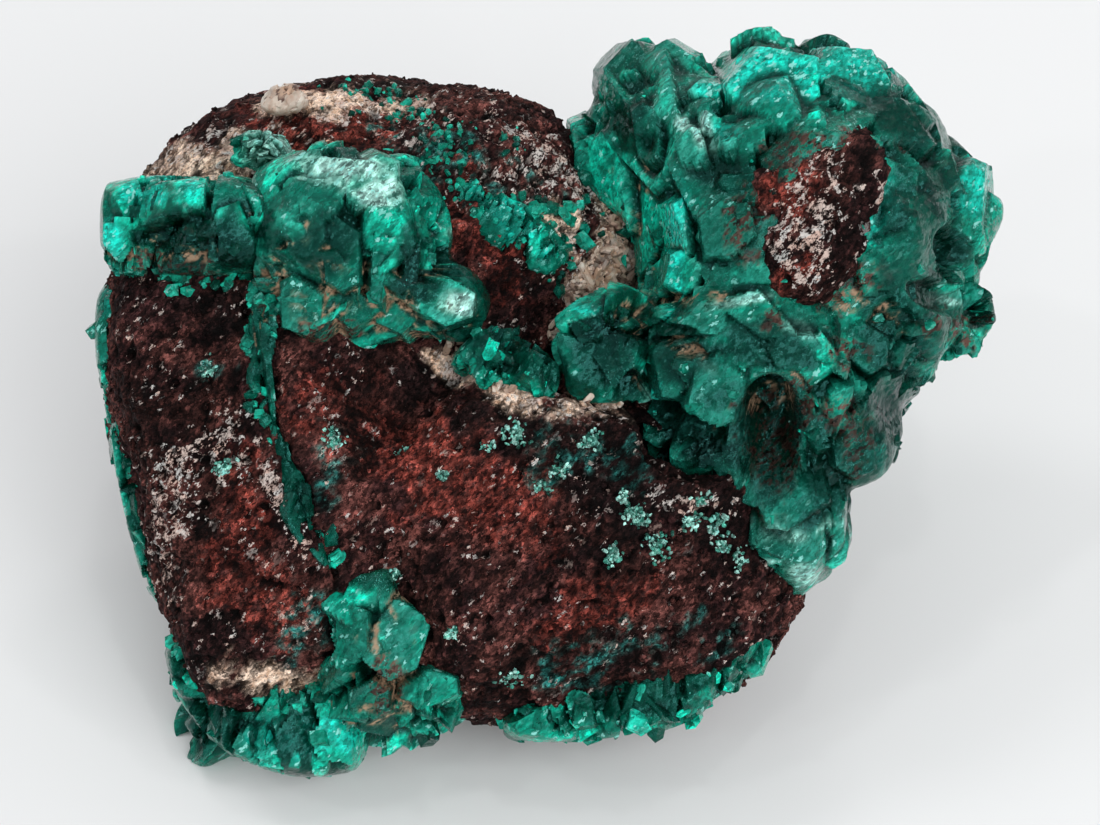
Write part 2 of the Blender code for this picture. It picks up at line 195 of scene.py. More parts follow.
FROSTY_REGIONS = (
    (300, 220, 26, 20, 0), (742, 245, 46, 46, 10), (740, 325, 70, 20, 0), (330, 225, 40, 26, 0),
    (700, 395, 40, 40, 0), (800, 535, 56, 40, 10), (440, 303, 28, 22, 0), (300, 300, 26, 30, 0),
    (260, 725, 40, 14, 0), (672, 62, 20, 20, 0), (912, 262, 18, 14, 0), (380, 650, 30, 50, 20),
    (942, 300, 30, 12, 10), (705, 130, 26, 36, 0), (230, 255, 50, 16, 0), (700, 140, 40, 50, 0),
)
# Milky crystal, and painted white glints
MILKY_AND_GLINT_REGIONS = (
    (348, 178, 44, 22, 0), (372, 205, 24, 16, 0), (441, 238, 10, 9, 0), (446, 300, 18, 14, 0),
    (265, 148, 32, 18, 0), (374, 584, 20, 10, 20), (708, 145, 12, 24, -10), (802, 558, 18, 12, 0),
    (690, 132, 10, 10, 0), (790, 325, 26, 6, 20), (745, 300, 30, 6, -10), (700, 350, 30, 8, 20),
    (245, 292, 8, 7, 0), (640, 400, 8, 20, 0), (930, 300, 20, 6, 10), (780, 520, 30, 12, 0),
    (775, 505, 18, 5, -20), (822, 515, 14, 5, 0), (842, 500, 8, 12, 0), (765, 545, 16, 4, 0),
)
BRIGHT_REGIONS = (
    (706, 92, 18, 14, 0), (764, 92, 46, 32, 10), (729, 145, 16, 10, 0), (682, 245, 16, 52, 8),
    (850, 80, 50, 26, 20), (965, 190, 26, 36, 0), (110, 262, 14, 66, 0), (662, 390, 10, 22, 0),
    (585, 120, 20, 16, 0), (300, 735, 60, 18, 0), (150, 200, 40, 12, 0), (850, 540, 20, 20, 0),
    (608, 312, 34, 6, 0), (505, 215, 46, 16, 40), (880, 445, 12, 18, 0), (925, 345, 26, 8, 15),
    (680, 650, 60, 10, -8), (870, 210, 24, 40, 0),
)
CLEAR_REGIONS = (
    (405, 262, 24, 46, 10), (640, 330, 60, 40, 0), (205, 240, 90, 40, 0), (880, 410, 36, 60, 0),
    (930, 200, 22, 40, 0), (720, 440, 40, 30, 0), (375, 585, 36, 26, 0),
)
WEB_REGIONS = (
    (300, 300, 50, 50, 0), (262, 300, 14, 50, 0), (370, 310, 70, 26, 0), (200, 262, 90, 18, 0),
    (440, 665, 80, 14, 58), (400, 615, 30, 14, 30), (385, 700, 30, 40, 0), (680, 348, 30, 12, 0),
    (776, 384, 26, 10, -20), (850, 305, 40, 10, 20), (700, 300, 40, 8, 0), (640, 280, 20, 60, 0),
)
# Brown dust, and painted shade in the hollow under the right mass
DUST_AND_SHADE_REGIONS = (
    (265, 288, 14, 26, 10), (332, 325, 22, 12, 0), (838, 425, 22, 30, 0), (845, 345, 20, 14, 0),
    (948, 322, 36, 16, 0), (820, 165, 66, 24, -14), (385, 690, 14, 26, 0), (175, 226, 16, 12, 0),
    (772, 386, 26, 12, -20), (800, 250, 40, 60, 0), (850, 280, 30, 30, 0), (774, 436, 36, 54, 0),
    (800, 200, 60, 40, -20), (160, 270, 60, 16, 0),
)
# Crystals that stand out by themselves, by the mass that they belong to: (x, y) of the middle,
# half width and half height in pixels, turn in degrees, lean to the right and lean up, lift in
# millimetres and tone
PLACED = {
    "right_crystals": (
        (632, 72, 30, 34, 20, -0.5, 0.3, 0.5, 0.25), (673, 62, 24, 24, 0, -0.2, 0.5, 0.7, 0.55),
        (706, 92, 20, 14, 20, -0.1, 0.3, 0.9, 1.00), (768, 88, 60, 38, 10, -0.1, 0.45, 0.4, 0.85),
        (850, 84, 50, 34, -25, 0.3, 0.5, 0.5, 0.60), (900, 125, 46, 24, -30, 0.4, 0.4, 0.4, 0.25),
        (585, 122, 22, 18, 0, -0.4, 0.1, 0.5, 0.70), (650, 130, 18, 40, 10, -0.5, 0.1, 0.5, 0.30),
        (690, 150, 16, 26, 15, -0.5, 0.3, 1.0, 0.70), (708, 128, 14, 20, -10, 0.1, 0.5, 1.1, 0.80),
        (729, 150, 18, 16, 0, -0.2, 0.5, 1.2, 0.95), (745, 188, 36, 24, -20, -0.1, -0.1, 0.8, 0.25),
        (683, 225, 18, 34, 6, -0.5, 0.2, 0.9, 0.90), (680, 272, 20, 30, -10, -0.4, -0.1, 0.8, 0.75),
        (725, 235, 26, 34, 10, -0.3, 0.1, 0.8, 0.35), (765, 255, 34, 38, -15, 0.0, -0.1, 0.7, 0.30),
        (890, 205, 34, 60, 0, 0.25, 0.1, 0.3, 0.55), (935, 175, 24, 34, 20, 0.3, 0.3, 0.6, 0.45),
        (966, 200, 28, 50, 0, 0.5, 0.1, 0.7, 0.60), (955, 262, 24, 26, 0, 0.4, -0.3, 0.5, 0.50),
        (700, 318, 42, 20, 15, -0.2, 0.5, 1.0, 0.45), (762, 322, 50, 22, -15, 0.1, 0.4, 1.1, 0.50),
        (790, 350, 34, 24, -30, 0.2, -0.2, 0.9, 0.35), (738, 356, 30, 18, 0, 0.0, 0.2, 1.0, 0.55),
        (672, 372, 24, 34, 10, -0.5, 0.0, 0.8, 0.35), (712, 395, 34, 44, -10, 0.1, -0.1, 1.1, 0.45),
        (658, 395, 10, 34, 10, -0.8, 0.1, 0.9, 1.00), (735, 430, 20, 34, 0, 0.4, -0.1, 0.6, 0.30),
        (895, 290, 24, 30, 0, 0.2, 0.1, 0.6, 0.35), (862, 350, 36, 30, 0, 0.2, 0.1, 0.5, 0.40),
        (885, 405, 22, 24, 10, 0.3, 0.1, 0.7, 0.50), (850, 450, 30, 30, 0, 0.3, -0.2, 0.5, 0.40),
        (790, 505, 40, 26, 10, -0.1, 0.1, 0.5, 0.35), (830, 545, 26, 22, 0, 0.2, -0.2, 0.7, 0.75),
        (775, 540, 30, 24, 0, -0.2, 0.2, 0.4, 0.30), (755, 490, 20, 22, 0, -0.3, 0.3, 0.6, 0.45),
    ),
    "rim_cluster": (
        (330, 186, 34, 26, 25, -0.3, 0.5, 0.6, 0.80), (372, 182, 28, 30, 0, 0.2, 0.5, 0.7, 0.70),
        (300, 225, 30, 40, 8, -0.4, 0.0, 0.3, 0.45), (345, 255, 26, 50, 0, -0.1, 0.0, 0.4, 0.35),
        (385, 262, 18, 50, -4, 0.1, 0.0, 0.6, 0.30), (412, 262, 18, 44, -8, 0.5, 0.0, 0.4, 0.45),
        (441, 238, 13, 12, 0, 0.2, 0.3, 1.2, 0.85), (443, 302, 28, 24, 0, 0.2, -0.2, 0.6, 0.70),
        (300, 305, 26, 34, 0, -0.2, -0.2, 0.3, 0.40), (350, 308, 34, 22, 0, 0.0, -0.3, 0.3, 0.35),
        (262, 330, 12, 34, 6, -0.4, 0.0, 0.5, 0.50), (400, 315, 26, 16, 10, 0.2, -0.3, 0.4, 0.45),
    ),
    "foot_crystals": (
        (368, 590, 30, 22, 30, -0.2, 0.6, 0.6, 0.85), (352, 635, 20, 36, 0, -0.5, 0.0, 0.5, 0.40),
        (395, 640, 30, 40, -10, 0.2, 0.1, 0.5, 0.50), (430, 690, 32, 26, 0, 0.3, -0.2, 0.5, 0.55),
        (375, 700, 26, 26, 0, -0.2, -0.4, 0.4, 0.30), (412, 600, 12, 24, 20, 0.6, 0.2, 0.4, 0.35),
    ),
}


def to_part(places):
    """Places along the face, in millimetres, as places in the part's frame in metres."""
    return (np.asarray(places) @ FACE_AXES + HEART) * MM


def above_floor(places):
    """Height over the floor, in millimetres."""
    return places @ FACE_AXES[:, 2] + HEART[2]


def in_photo(places):
    """Where the photograph shows places, in its pixels."""
    scale = PHOTO_SCALE * PHOTO_DISTANCE / (PHOTO_DISTANCE - places[:, 2])
    return np.stack(
        [PHOTO_MIDDLE[0] + places[:, 0] * scale, PHOTO_MIDDLE[1] - places[:, 1] * scale],
        axis=1,
    )


# Shapes


def lump_distance(places, lump):
    """How far places lie outside one rounded block, along the line to its middle."""
    middle, half, squareness, turn = lump
    away = places - np.array(middle)
    c, s = math.cos(math.radians(turn)), math.sin(math.radians(turn))
    turned = np.stack(
        [away[:, 0] * c + away[:, 1] * s, away[:, 1] * c - away[:, 0] * s, away[:, 2]],
        axis=1,
    )
    powers = (np.abs(turned / np.array(half)) ** squareness).sum(axis=1)
    share = np.maximum(powers ** (1.0 / squareness), 1e-6)
    return np.linalg.norm(away, axis=1) * (1.0 - 1.0 / share)


def smooth_join(first, second, blend):
    """The nearer of two distances, run together over the blend length."""
    share = np.clip(0.5 + 0.5 * (second - first) / blend, 0.0, 1.0)
    return second * (1.0 - share) + first * share - blend * share * (1.0 - share)


def ripple(places, length, height, seed):
    """Gentle unevenness: waves of about one length that cross at random."""
    rng = np.random.default_rng(seed)
    ways = rng.normal(size=(7, 3))
    ways /= np.linalg.norm(ways, axis=1)[:, None]
    ways *= 2 * math.pi / (length * rng.uniform(0.7, 1.4, (7, 1)))
    starts = rng.uniform(0, 2 * math.pi, 7)
    return height * np.sin(places @ ways.T + starts).mean(axis=1)


def clump(lumps, blend, wave, height, seed):
    """The shape of lumps that run into each other, as a function that measures distance."""

    def distance(places):
        nearest = lump_distance(places, lumps[0])
        for lump in lumps[1:]:
            nearest = smooth_join(nearest, lump_distance(places, lump), blend)
        return nearest + ripple(places, wave, height, seed)

    return distance


def crystal(lumps, seed):
    """A clump with the small unevenness of a crystal mass."""
    return clump(lumps, 1.0, 3.5, 0.5, seed)


def seam(stations):
    """The shape of a seam: an oval section carried along its stations."""
    rows = np.array(stations)

    def distance(places):
        nearest = np.full(len(places), np.inf)
        for start, end in zip(rows[:-1], rows[1:]):
            run = end[:2] - start[:2]
            share = np.clip((places[:, :2] - start[:2]) @ run / (run @ run), 0.0, 1.0)
            here = start + share[:, None] * (end - start)
            aside = np.linalg.norm(places[:, :2] - here[:, :2], axis=1)
            deep = places[:, 2] - here[:, 2]
            oval = np.sqrt((aside / here[:, 3]) ** 2 + (deep / here[:, 4]) ** 2)
            nearest = np.minimum(nearest, (oval - 1.0) * here[:, 3])
        return nearest

    return distance


def past(places, crack):
    """How far places lie past a crack."""
    direction, start = crack
    return places @ np.array(direction) - start


def left_of_crack(places):
    """Negative on the left fragment's side of its cracks."""
    return np.maximum(past(places, LEFT_CRACK), past(places, RIM_CRACK))


def front_of_valley(places):
    """Negative on the front fragment's side of its cracks."""
    return np.maximum(-past(places, LEFT_CRACK), past(places, VALLEY_CRACK))


def behind_both(places):
    """Negative where the rock is neither the left nor the front fragment."""
    return np.maximum(-left_of_crack(places), -front_of_valley(places))


whole_rock = clump(ROCK_LUMPS, 2.0, 9.0, 1.2, 3)
right_mass = clump(RIGHT_LUMPS, 1.0, 5.0, 1.2, 13)
rim = crystal(RIM_LUMPS, 11)
foot = crystal(FOOT_LUMPS, 12)
leg = crystal(LEG_LUMPS, 8)
block = crystal(BLOCK_LUMPS, 7)
patch = crystal(PATCH_LUMPS, 4)
knob = crystal(KNOB_LUMPS, 5)
spur = crystal(SPUR_LUMPS, 6)
quartz = crystal(QUARTZ_LUMPS, 9)
chip = crystal(CHIP_LUMPS, 10)

# How deep crystals are bedded in rock, and how far seams stand out of their stations, in millimetres
BED_DEPTH = 0.9
SEAM_LIFT = 0.45
CRYSTALS_IN_ROCK = (rim, foot, right_mass, block, leg) + tuple(seam(run) for run in SEAMS)


def fragment(side):
    """The host rock on one side of its cracks, with shallow beds under the crystals that lie in
    it, cut flat where it rests."""

    def distance(places):
        wavy = side(places) + ripple(places, 7.0, 1.0, 8) - 0.1
        outside = -smooth_join(-whole_rock(places), -wavy, 0.8)
        for bedded in CRYSTALS_IN_ROCK:
            outside = np.maximum(outside, -BED_DEPTH - bedded(places))
        return np.maximum(outside, -above_floor(places))

    return distance


def standing(shape):
    """A shape cut flat where it meets the surface that the stone rests on."""
    return lambda places: np.maximum(shape(places), -above_floor(places))


# Large numbers that turn a cube corner's place and the seed into a random number
CORNER_PRIMES = (73856093, 19349663, 83492791)
SEED_FACTOR = 2654435
STIR_FACTORS = (1274126177, 668265263)
HALF_OF_16_BITS = 32767.5


def lattice_noise(places, size, seed):
    """Value noise from -1 to 1: random numbers at the corners of cubes of a size, with a smooth
    blend between the eight corners."""
    in_cubes = places / size
    cell = np.floor(in_cubes).astype(np.int64)
    part = in_cubes - cell
    part = part * part * (3.0 - 2.0 * part)
    total = np.zeros(len(places))
    for corner in range(8):
        step = np.array([corner & 1, corner >> 1 & 1, corner >> 2 & 1])
        key = (cell + step) * CORNER_PRIMES
        mixed = key[:, 0] ^ key[:, 1] ^ key[:, 2] ^ seed * SEED_FACTOR
        mixed = (mixed ^ mixed >> 13) * STIR_FACTORS[0] & 0x7FFFFFFF
        mixed = (mixed ^ mixed >> 15) * STIR_FACTORS[1] & 0x7FFFFFFF
        value = (mixed >> 8 & 0xFFFF) / HALF_OF_16_BITS - 1.0
        total += value * np.where(step, part, 1.0 - part).prod(axis=1)
    return total


def layered_noise(places, size, seed, layers, fade=0.5):
    """Lattice noise in layers, each of half the size and a fraction of the height."""
    total = np.zeros(len(places))
    height = 1.0
    for layer in range(layers):
        total += height * lattice_noise(places, size, seed + layer)
        size *= 0.5
        height *= fade
    return total


def smooth_step(values, low, high):
    """0 below low, 1 above high, and a smooth rise between them."""
    share = np.clip((values - low) / (high - low), 0.0, 1.0)
    return share * share * (3.0 - 2.0 * share)


def region_mask(places, regions, rough):
    """1 inside the regions of the photograph and 0 outside, with edges broken up by roughness."""
    pixels = in_photo(places)
    mask = np.zeros(len(places))
    for x, y, wide, tall, turn in regions:
        c, s = math.cos(math.radians(turn)), math.sin(math.radians(turn))
        away = pixels - (x, y)
        along = (away[:, 0] * c + away[:, 1] * s) / wide
        beside = (away[:, 1] * c - away[:, 0] * s) / tall
        mask = np.maximum(mask, smooth_step(1.2 - np.hypot(along, beside) + rough, 0.0, 0.6))
    return mask


# Surfaces on a grid: rows run from pole to pole, columns run round


def radial_ways(rows, columns):
    """Directions on a grid: a row is a circle of latitude about the line across the stone, and a
    column a meridian."""
    pole = ACROSS
    side = np.cross(pole, [0.3, 0.5, 0.8])
    side /= np.linalg.norm(side)
    other = np.cross(pole, side)
    latitude = np.linspace(0, math.pi, rows)[:, None]
    longitude = np.arange(columns) * 2 * math.pi / columns
    ring = np.cos(longitude)[:, None] * side + np.sin(longitude)[:, None] * other
    ways = np.cos(latitude)[:, :, None] * pole + np.sin(latitude)[:, :, None] * ring
    return ways.reshape(-1, 3)


def reach_out(shape, middle, ways, step=0.7, furthest=40.0):
    """How far the surface lies from the middle in each direction, by steps and halvings."""
    reach = np.full(len(ways), furthest)
    inside = np.ones(len(ways), bool)
    for distance in np.arange(step, furthest, step):
        outside = np.zeros(len(ways), bool)
        outside[inside] = shape(middle + distance * ways[inside]) > 0
        reach[outside] = distance
        inside &= ~outside
        if not inside.any():
            break
    near, far = reach - step, reach.copy()
    for _ in range(7):
        halfway = (near + far) / 2
        outside = shape(middle + halfway[:, None] * ways) > 0
        far = np.where(outside, halfway, far)
        near = np.where(outside, near, halfway)
    return near


def finer(values, rows, columns):
    """A coarse grid's values on a finer grid, by straight blends; its columns close in a ring."""
    down = np.linspace(0, len(values) - 1, rows)
    above = np.minimum(down.astype(int), len(values) - 2)
    share = (down - above)[:, None]
    values = values[above] * (1 - share) + values[above + 1] * share
    beside = np.arange(columns) * values.shape[1] / columns
    before = beside.astype(int)
    share = beside - before
    return values[:, before] * (1 - share) + values[:, (before + 1) % values.shape[1]] * share


def radial_grid(shape, middle, rows, columns):
    """Directions from a middle and how far the shape reaches in each. They are worked out on a
    coarse grid of every third line and blended between its lines."""
    coarse_rows, coarse_columns = rows // 3, columns // 3
    coarse = radial_ways(coarse_rows, coarse_columns)
    reach = reach_out(shape, middle, coarse).reshape(coarse_rows, coarse_columns)
    reach[0], reach[-1] = reach[0].mean(), reach[-1].mean()
    reach = finer(reach, rows, columns)
    return np.tile(middle, (rows * columns, 1)), radial_ways(rows, columns), reach.ravel()


def tube_grid(stations, rows, columns):
    """A seam as a tube: the path runs smoothly through the stations, and each section is a square
    with round corners, of the half thickness along the face and the half depth into it, closing
    at both ends."""
    table = np.array(stations)
    steps = np.linalg.norm(np.diff(table[:, :3], axis=0), axis=1)
    length = np.concatenate([[0.0], np.cumsum(steps)])
    at = np.linspace(0, length[-1], rows)
    run = np.stack([np.interp(at, length, table[:, k]) for k in range(5)], axis=1)
    run[:, 2] += SEAM_LIFT
    kernel = np.hanning(rows // 6 * 2 + 3)
    kernel /= kernel.sum()
    padded = np.pad(run, ((len(kernel) // 2,) * 2, (0, 0)), mode="edge")
    run = np.stack([np.convolve(padded[:, k], kernel, "valid") for k in range(5)], axis=1)
    along = np.gradient(run[:, :2], axis=0)
    along /= np.linalg.norm(along, axis=1)[:, None]
    beside = np.stack([-along[:, 1], along[:, 0], np.zeros(rows)], axis=1)
    deep = np.array([0.0, 0.0, 1.0])
    ends = np.sqrt(np.clip(np.sin(np.linspace(0, math.pi, rows)) * 4.0, 0.0, 1.0))
    ends[0] = ends[-1] = 1e-4
    turn = np.arange(columns) * 2 * math.pi / columns
    corner = (np.abs(np.cos(turn)) ** 4 + np.abs(np.sin(turn)) ** 4) ** -0.25
    ring = (
        (corner * np.cos(turn))[None, :, None] * (run[:, 3] * ends)[:, None, None] * beside[:, None]
        + (corner * np.sin(turn))[None, :, None] * (run[:, 4] * ends)[:, None, None] * deep
    ).reshape(-1, 3)
    reach = np.linalg.norm(ring, axis=1)
    origins = np.repeat(run[:, :3], columns, axis=0)
    return origins, ring / reach[:, None], reach


def grid_normals(places, ways, rows, columns):
    """Outward directions of a grid surface and its areas, from the cross product of its runs."""
    grid = places.reshape(rows, columns, 3)
    down = np.gradient(grid, axis=0)
    along = np.roll(grid, -1, axis=1) - np.roll(grid, 1, axis=1)
    normals = np.cross(down, along).reshape(-1, 3)
    area = np.linalg.norm(normals, axis=1)
    normals /= np.maximum(area, 1e-9)[:, None]
    if (normals * ways).sum() < 0:
        normals = -normals
    flat = area < 1e-7
    normals[flat] = ways[flat]
    return normals, area


# The planes of each chunk and each placed crystal, how deep their middles lie for their size, how
# far a chunk's front and back lean at random, and the turns of a placed crystal's sides in degrees
PLANES = 9
CHUNK_DEPTH = 0.85
PLACED_DEPTH = 0.9
FRONT_LEAN = 0.32
BACK_LEAN = 0.2
SIX_SIDES = (0, 62, 118, 180, 242, 298)


def broken_chunks(rng, places, normals, area, count, sizes, columns_up, uneven):
    """Broken crystal chunks set in a surface: random planes about each centre, with one of them
    facing outward, higher or lower by as much as uneven. Low columns_up draws the chunks out into
    upright columns. Returns centres, plane directions, plane distances, sizes and a tone for each
    plane; the tone's part for each plane is painted light and shade on its facet."""
    pick = rng.choice(len(places), count, p=area / area.sum())
    size = rng.uniform(0.0, 1.0, count) ** 2 * (sizes[1] - sizes[0]) + sizes[0]
    outward = normals[pick]
    depth = size * CHUNK_DEPTH
    centres = places[pick] - outward * depth[:, None]
    faces = rng.normal(size=(count, PLANES, 3)) * (1.0, columns_up, 1.0)
    faces[:, 0] = outward + rng.normal(size=(count, 3)) * FRONT_LEAN
    faces[:, 1] = -faces[:, 0] + rng.normal(size=(count, 3)) * BACK_LEAN
    faces /= np.linalg.norm(faces, axis=2)[:, :, None]
    heights = size[:, None] * rng.uniform(0.6, 1.0, (count, PLANES))
    heights[:, 0] = depth + np.minimum(size, uneven) * rng.uniform(-1.3, 0.5, count)
    # Half of each tone is the chunk's and half the plane's own: the plane's half is painted light and
    # shade on its facet
    tones = rng.random((count, 1)) * 0.5 + rng.random((count, PLANES)) * 0.5
    return centres, faces, heights, size, tones


def placed_chunks(rng, places, normals, placed):
    """The crystals seen by themselves in the photograph: six planes about each outline, one that
    faces out with its lean, one behind and one that cuts a corner."""
    pixels = in_photo(places)
    hidden = np.where(normals[:, 2] > 0.0, 0.0, 1e6)
    made = []
    for x, y, wide, tall, turn, lean_right, lean_up, lift, tone in placed:
        place = places[np.argmin(((pixels - (x, y)) ** 2).sum(axis=1) + hidden)]
        half = np.array([wide, tall]) / PHOTO_SCALE
        depth = half.max() * PLACED_DEPTH
        angles = np.radians(SIX_SIDES + rng.uniform(-8, 8, 6))
        reach = np.hypot(half[0] * np.cos(angles), half[1] * np.sin(angles))
        reach *= rng.uniform(0.85, 1.05, 6)
        angles = angles + math.radians(turn)
        around = np.stack([np.cos(angles), np.sin(angles), rng.uniform(0.0, 0.3, 6)], axis=1)
        front = np.array([lean_right, lean_up, 1.0])
        cut = np.array([lean_right - 0.7, lean_up + 0.5, 0.9])
        faces = np.concatenate([around, [front, [0.0, 0.0, -1.0], cut]])
        faces /= np.linalg.norm(faces, axis=1)[:, None]
        outer = depth + lift + 0.3
        corner = faces[8] @ np.array([-half[0] * 0.6, half[1] * 0.6, outer])
        heights = np.concatenate([reach, [outer * faces[6, 2], 2 * depth, corner * 0.95]])
        # Each plane's tone a little off the crystal's: painted light and shade on its facets
        tones = np.clip(tone + rng.uniform(-0.25, 0.15, PLANES), 0.0, 1.0)
        tones[6] = tone
        made.append((place - np.array([0.0, 0.0, depth]), faces, heights, half.max(), tones))
    return tuple(np.array(part) for part in zip(*made))


def nearby_chunks(places, rows, columns, centres, size, near):
    """The chunks nearest to each place of a grid, found for every third line and shared with the
    places beside it. Large chunks count as nearer."""
    grid = places.reshape(rows, columns, 3)[1::3, 1::3]
    coarse = grid.reshape(-1, 3).astype(np.float32)
    best = np.empty((len(coarse), near), np.int64)
    for start in range(0, len(coarse), 8192):
        part = coarse[start:start + 8192]
        away = (centres**2).sum(1) - size**2 - 2 * part @ centres.T.astype(np.float32)
        best[start:start + 8192] = np.argpartition(away, near, axis=1)[:, :near]
    best = best.reshape(grid.shape[0], grid.shape[1], near)
    down = np.minimum(np.arange(rows) // 3, grid.shape[0] - 1)
    along = np.minimum(np.arange(columns) // 3, grid.shape[1] - 1)
    return best[down][:, along].reshape(-1, near)


def chunk_reach(origins, ways, best, chunks):
    """How far the outermost chunk lies along each direction, and the tone of its plane there. A
    chunk is the space behind all its planes, so a line leaves it at the first that it crosses."""
    centres, faces, heights, _, tones = chunks
    furthest = np.zeros(len(ways))
    tone = np.zeros(len(ways))
    for pick in best.T:
        slope = np.einsum("nkj,nj->nk", faces[pick], ways)
        behind = heights[pick] - np.einsum("nkj,nj->nk", faces[pick], origins - centres[pick])
        cross = behind / np.where(np.abs(slope) < 1e-6, 1e-6, slope)
        leaving = np.where(slope > 0, cross, np.inf)
        side = leaving.argmin(axis=1)
        leave = leaving[np.arange(len(ways)), side]
        enter = np.where(slope < 0, cross, -np.inf).max(axis=1)
        further = (leave > enter) & (leave > furthest)
        furthest = np.where(further, leave, furthest)
        tone = np.where(further, tones[pick, side], tone)
    return furthest, tone


# Fragments of the rock: the side of the cracks that each lies on, its middle, its grid's rows and
# columns, and its seed
ROCKS = {
    "rock_left": (left_of_crack, (-19.0, -2.0, -4.0), 270, 360, 51),
    "rock_front": (front_of_valley, (2.0, -9.5, -4.0), 300, 400, 52),
    "rock_dome": (behind_both, (-6.5, 9.0, -7.0), 270, 360, 53),
}
# Crystal masses: shape, middle, rows and columns of the grid, two kinds of chunks as (count,
# smallest, largest) in millimetres, and seed
MASSES = {
    "right_crystals": (right_mass, (15.0, 8.0, -3.0), 330, 480, ((300, 1.6, 3.8), (1500, 0.4, 1.3)), 61),
    "rim_cluster": (rim, (-13.0, 9.4, 4.2), 210, 300, ((60, 1.4, 3.0), (380, 0.3, 1.1)), 62),
    "foot_crystals": (foot, (-10.6, -16.4, 2.9), 150, 210, ((44, 1.0, 2.2), (260, 0.3, 0.9)), 63),
    "leg_crystal": (standing(leg), (-22.1, -20.3, -4.8), 90, 120, ((7, 1.6, 2.6), (40, 0.3, 0.9)), 64),
    "valley_block": (block, (4.1, 4.4, 3.6), 120, 165, ((9, 1.6, 2.6), (60, 0.3, 0.9)), 65),
    "right_knob": (knob, (26.4, 6.1, -3.2), 96, 141, ((14, 0.9, 1.8), (120, 0.3, 0.8)), 66),
    "right_spur": (spur, (21.4, -2.4, 0.0), 75, 99, ((8, 0.6, 1.2), (50, 0.3, 0.6)), 67),
    "dome_quartz": (quartz, (-17.6, 20.8, 0.4), 75, 99, ((12, 0.4, 0.9), (60, 0.2, 0.45)), 68),
    "dome_chip": (chip, (-18.9, 17.2, 3.2), 75, 99, ((14, 0.4, 0.9), (80, 0.2, 0.45)), 69),
}
# Crystal seams: stations, and the rest as for the masses
TUBES = {
    "rim_band": (RIM_BAND, 240, 120, ((50, 0.9, 2.2), (300, 0.3, 0.9)), 71),
    "left_skin": (LEFT_SKIN, 300, 90, ((60, 0.6, 1.4), (300, 0.3, 0.8)), 72),
    "vein_crystals": (VEIN, 180, 84, ((30, 0.5, 1.2), (160, 0.2, 0.6)), 73),
    "base_left_crystals": (BASE_LEFT, 240, 120, ((46, 0.8, 2.0), (300, 0.3, 0.8)), 74),
    "base_right_crystals": (BASE_RIGHT, 300, 120, ((56, 0.8, 1.9), (340, 0.3, 0.8)), 75),
    "valley_crystals": (VALLEY_VEIN, 150, 90, ((26, 0.6, 1.5), (140, 0.2, 0.6)), 76),
    "dome_streak": (STREAK, 180, 84, ((40, 0.5, 1.1), (240, 0.2, 0.6)), 77),
}
# The surfaces worked out so far, by name
surfaces = {}


def surface(name):
    """A grown surface by name: its places, outward directions, areas, masks, rows and columns.
    Each is worked out once."""
    if name not in surfaces:
        if name in ROCKS:
            surfaces[name] = rock_surface(*ROCKS[name])
        elif name == "rock_patch":
            surfaces[name] = patch_surface()
        elif name in MASSES:
            shape, middle, rows, columns, chunks, seed = MASSES[name]
            grid = radial_grid(shape, np.array(middle), rows, columns)
            placed = PLACED.get(name, ())
            surfaces[name] = crystal_surface(grid, rows, columns, chunks, seed, 1.0, placed)
        else:
            stations, rows, columns, chunks, seed = TUBES[name]
            grid = tube_grid(stations, rows, columns)
            surfaces[name] = crystal_surface(grid, rows, columns, chunks, seed, 0.4, ())
    return surfaces[name]


# How far the looks stand off their base surfaces, in millimetres unless they are shares
FLOOR_CLEARANCE = 0.05
ROCK_SINK = 0.1
BASE_SINK = 1.2
BASE_SINK_SHARE = 0.72
CHUNK_UNEVENNESS = 1.3
CHUNK_UNEVEN_SHARE = 0.4
SEAT_SINK = 0.6
SEAT_RISE = 0.2
LEAST_RISE = 0.3
RISE_SHARE = 0.85
PLACED_RISE = 2.0
CRYSTAL_GRAIN = 0.03
LEAST_REACH = 0.02
# The relief of the rock, in millimetres, and the share of it that the patch has
SWELL_HEIGHT = 0.4
CRAG_HEIGHT = 0.45
GRAIN_HEIGHT = 0.17
PIT_DEPTH = 0.4
PATCH_RELIEF = 0.9
# How much of a crystal's tone is lost in the deep regions, which are deep green crystal and painted
# shade in hollows and under the right mass's overhang
DEEP_AND_SHADE_DARKENING = 0.75
# Seeds of the patch, the loose grains and the rosettes
PATCH_SEED = 57
GRAIN_SEED = 401
ROSETTE_SEED = 505


def rough_rock(places, seed):
    """The relief of the rock in millimetres: swells, crags, grains and pits."""
    swell = layered_noise(places, 5.0, seed, 2) * SWELL_HEIGHT
    crags = (0.5 - np.abs(layered_noise(places, 2.0, seed + 10, 3, 0.6))) * CRAG_HEIGHT
    grains = layered_noise(places, 0.8, seed + 20, 3, 0.75) * GRAIN_HEIGHT
    pits = smooth_step(lattice_noise(places, 1.0, seed + 30), 0.5, 0.9) * -PIT_DEPTH
    return swell + crags + grains + pits


def rock_surface(side, middle, rows, columns, seed):
    """Rock: place = middle + way * (reach of the fragment + relief)."""
    origins, ways, reach = radial_grid(fragment(side), np.array(middle), rows, columns)
    base = origins + ways * reach[:, None]
    relief = rough_rock(base, seed)
    # How proud the relief stands, kept as the height mask: the material paints shade where it lies low
    # and light where it stands proud
    proud = smooth_step(raised(relief, rows, columns, 4), -0.35, 0.25)
    resting = smooth_step(above_floor(base), 0.2, 1.4)
    reach = sink_hollows(reach, base, ways, ROCK_HOLLOWS)
    reach = reach + (relief - ROCK_SINK) * resting
    return finish_surface(origins, ways, reach, rows, columns, rock_masks(base, proud))


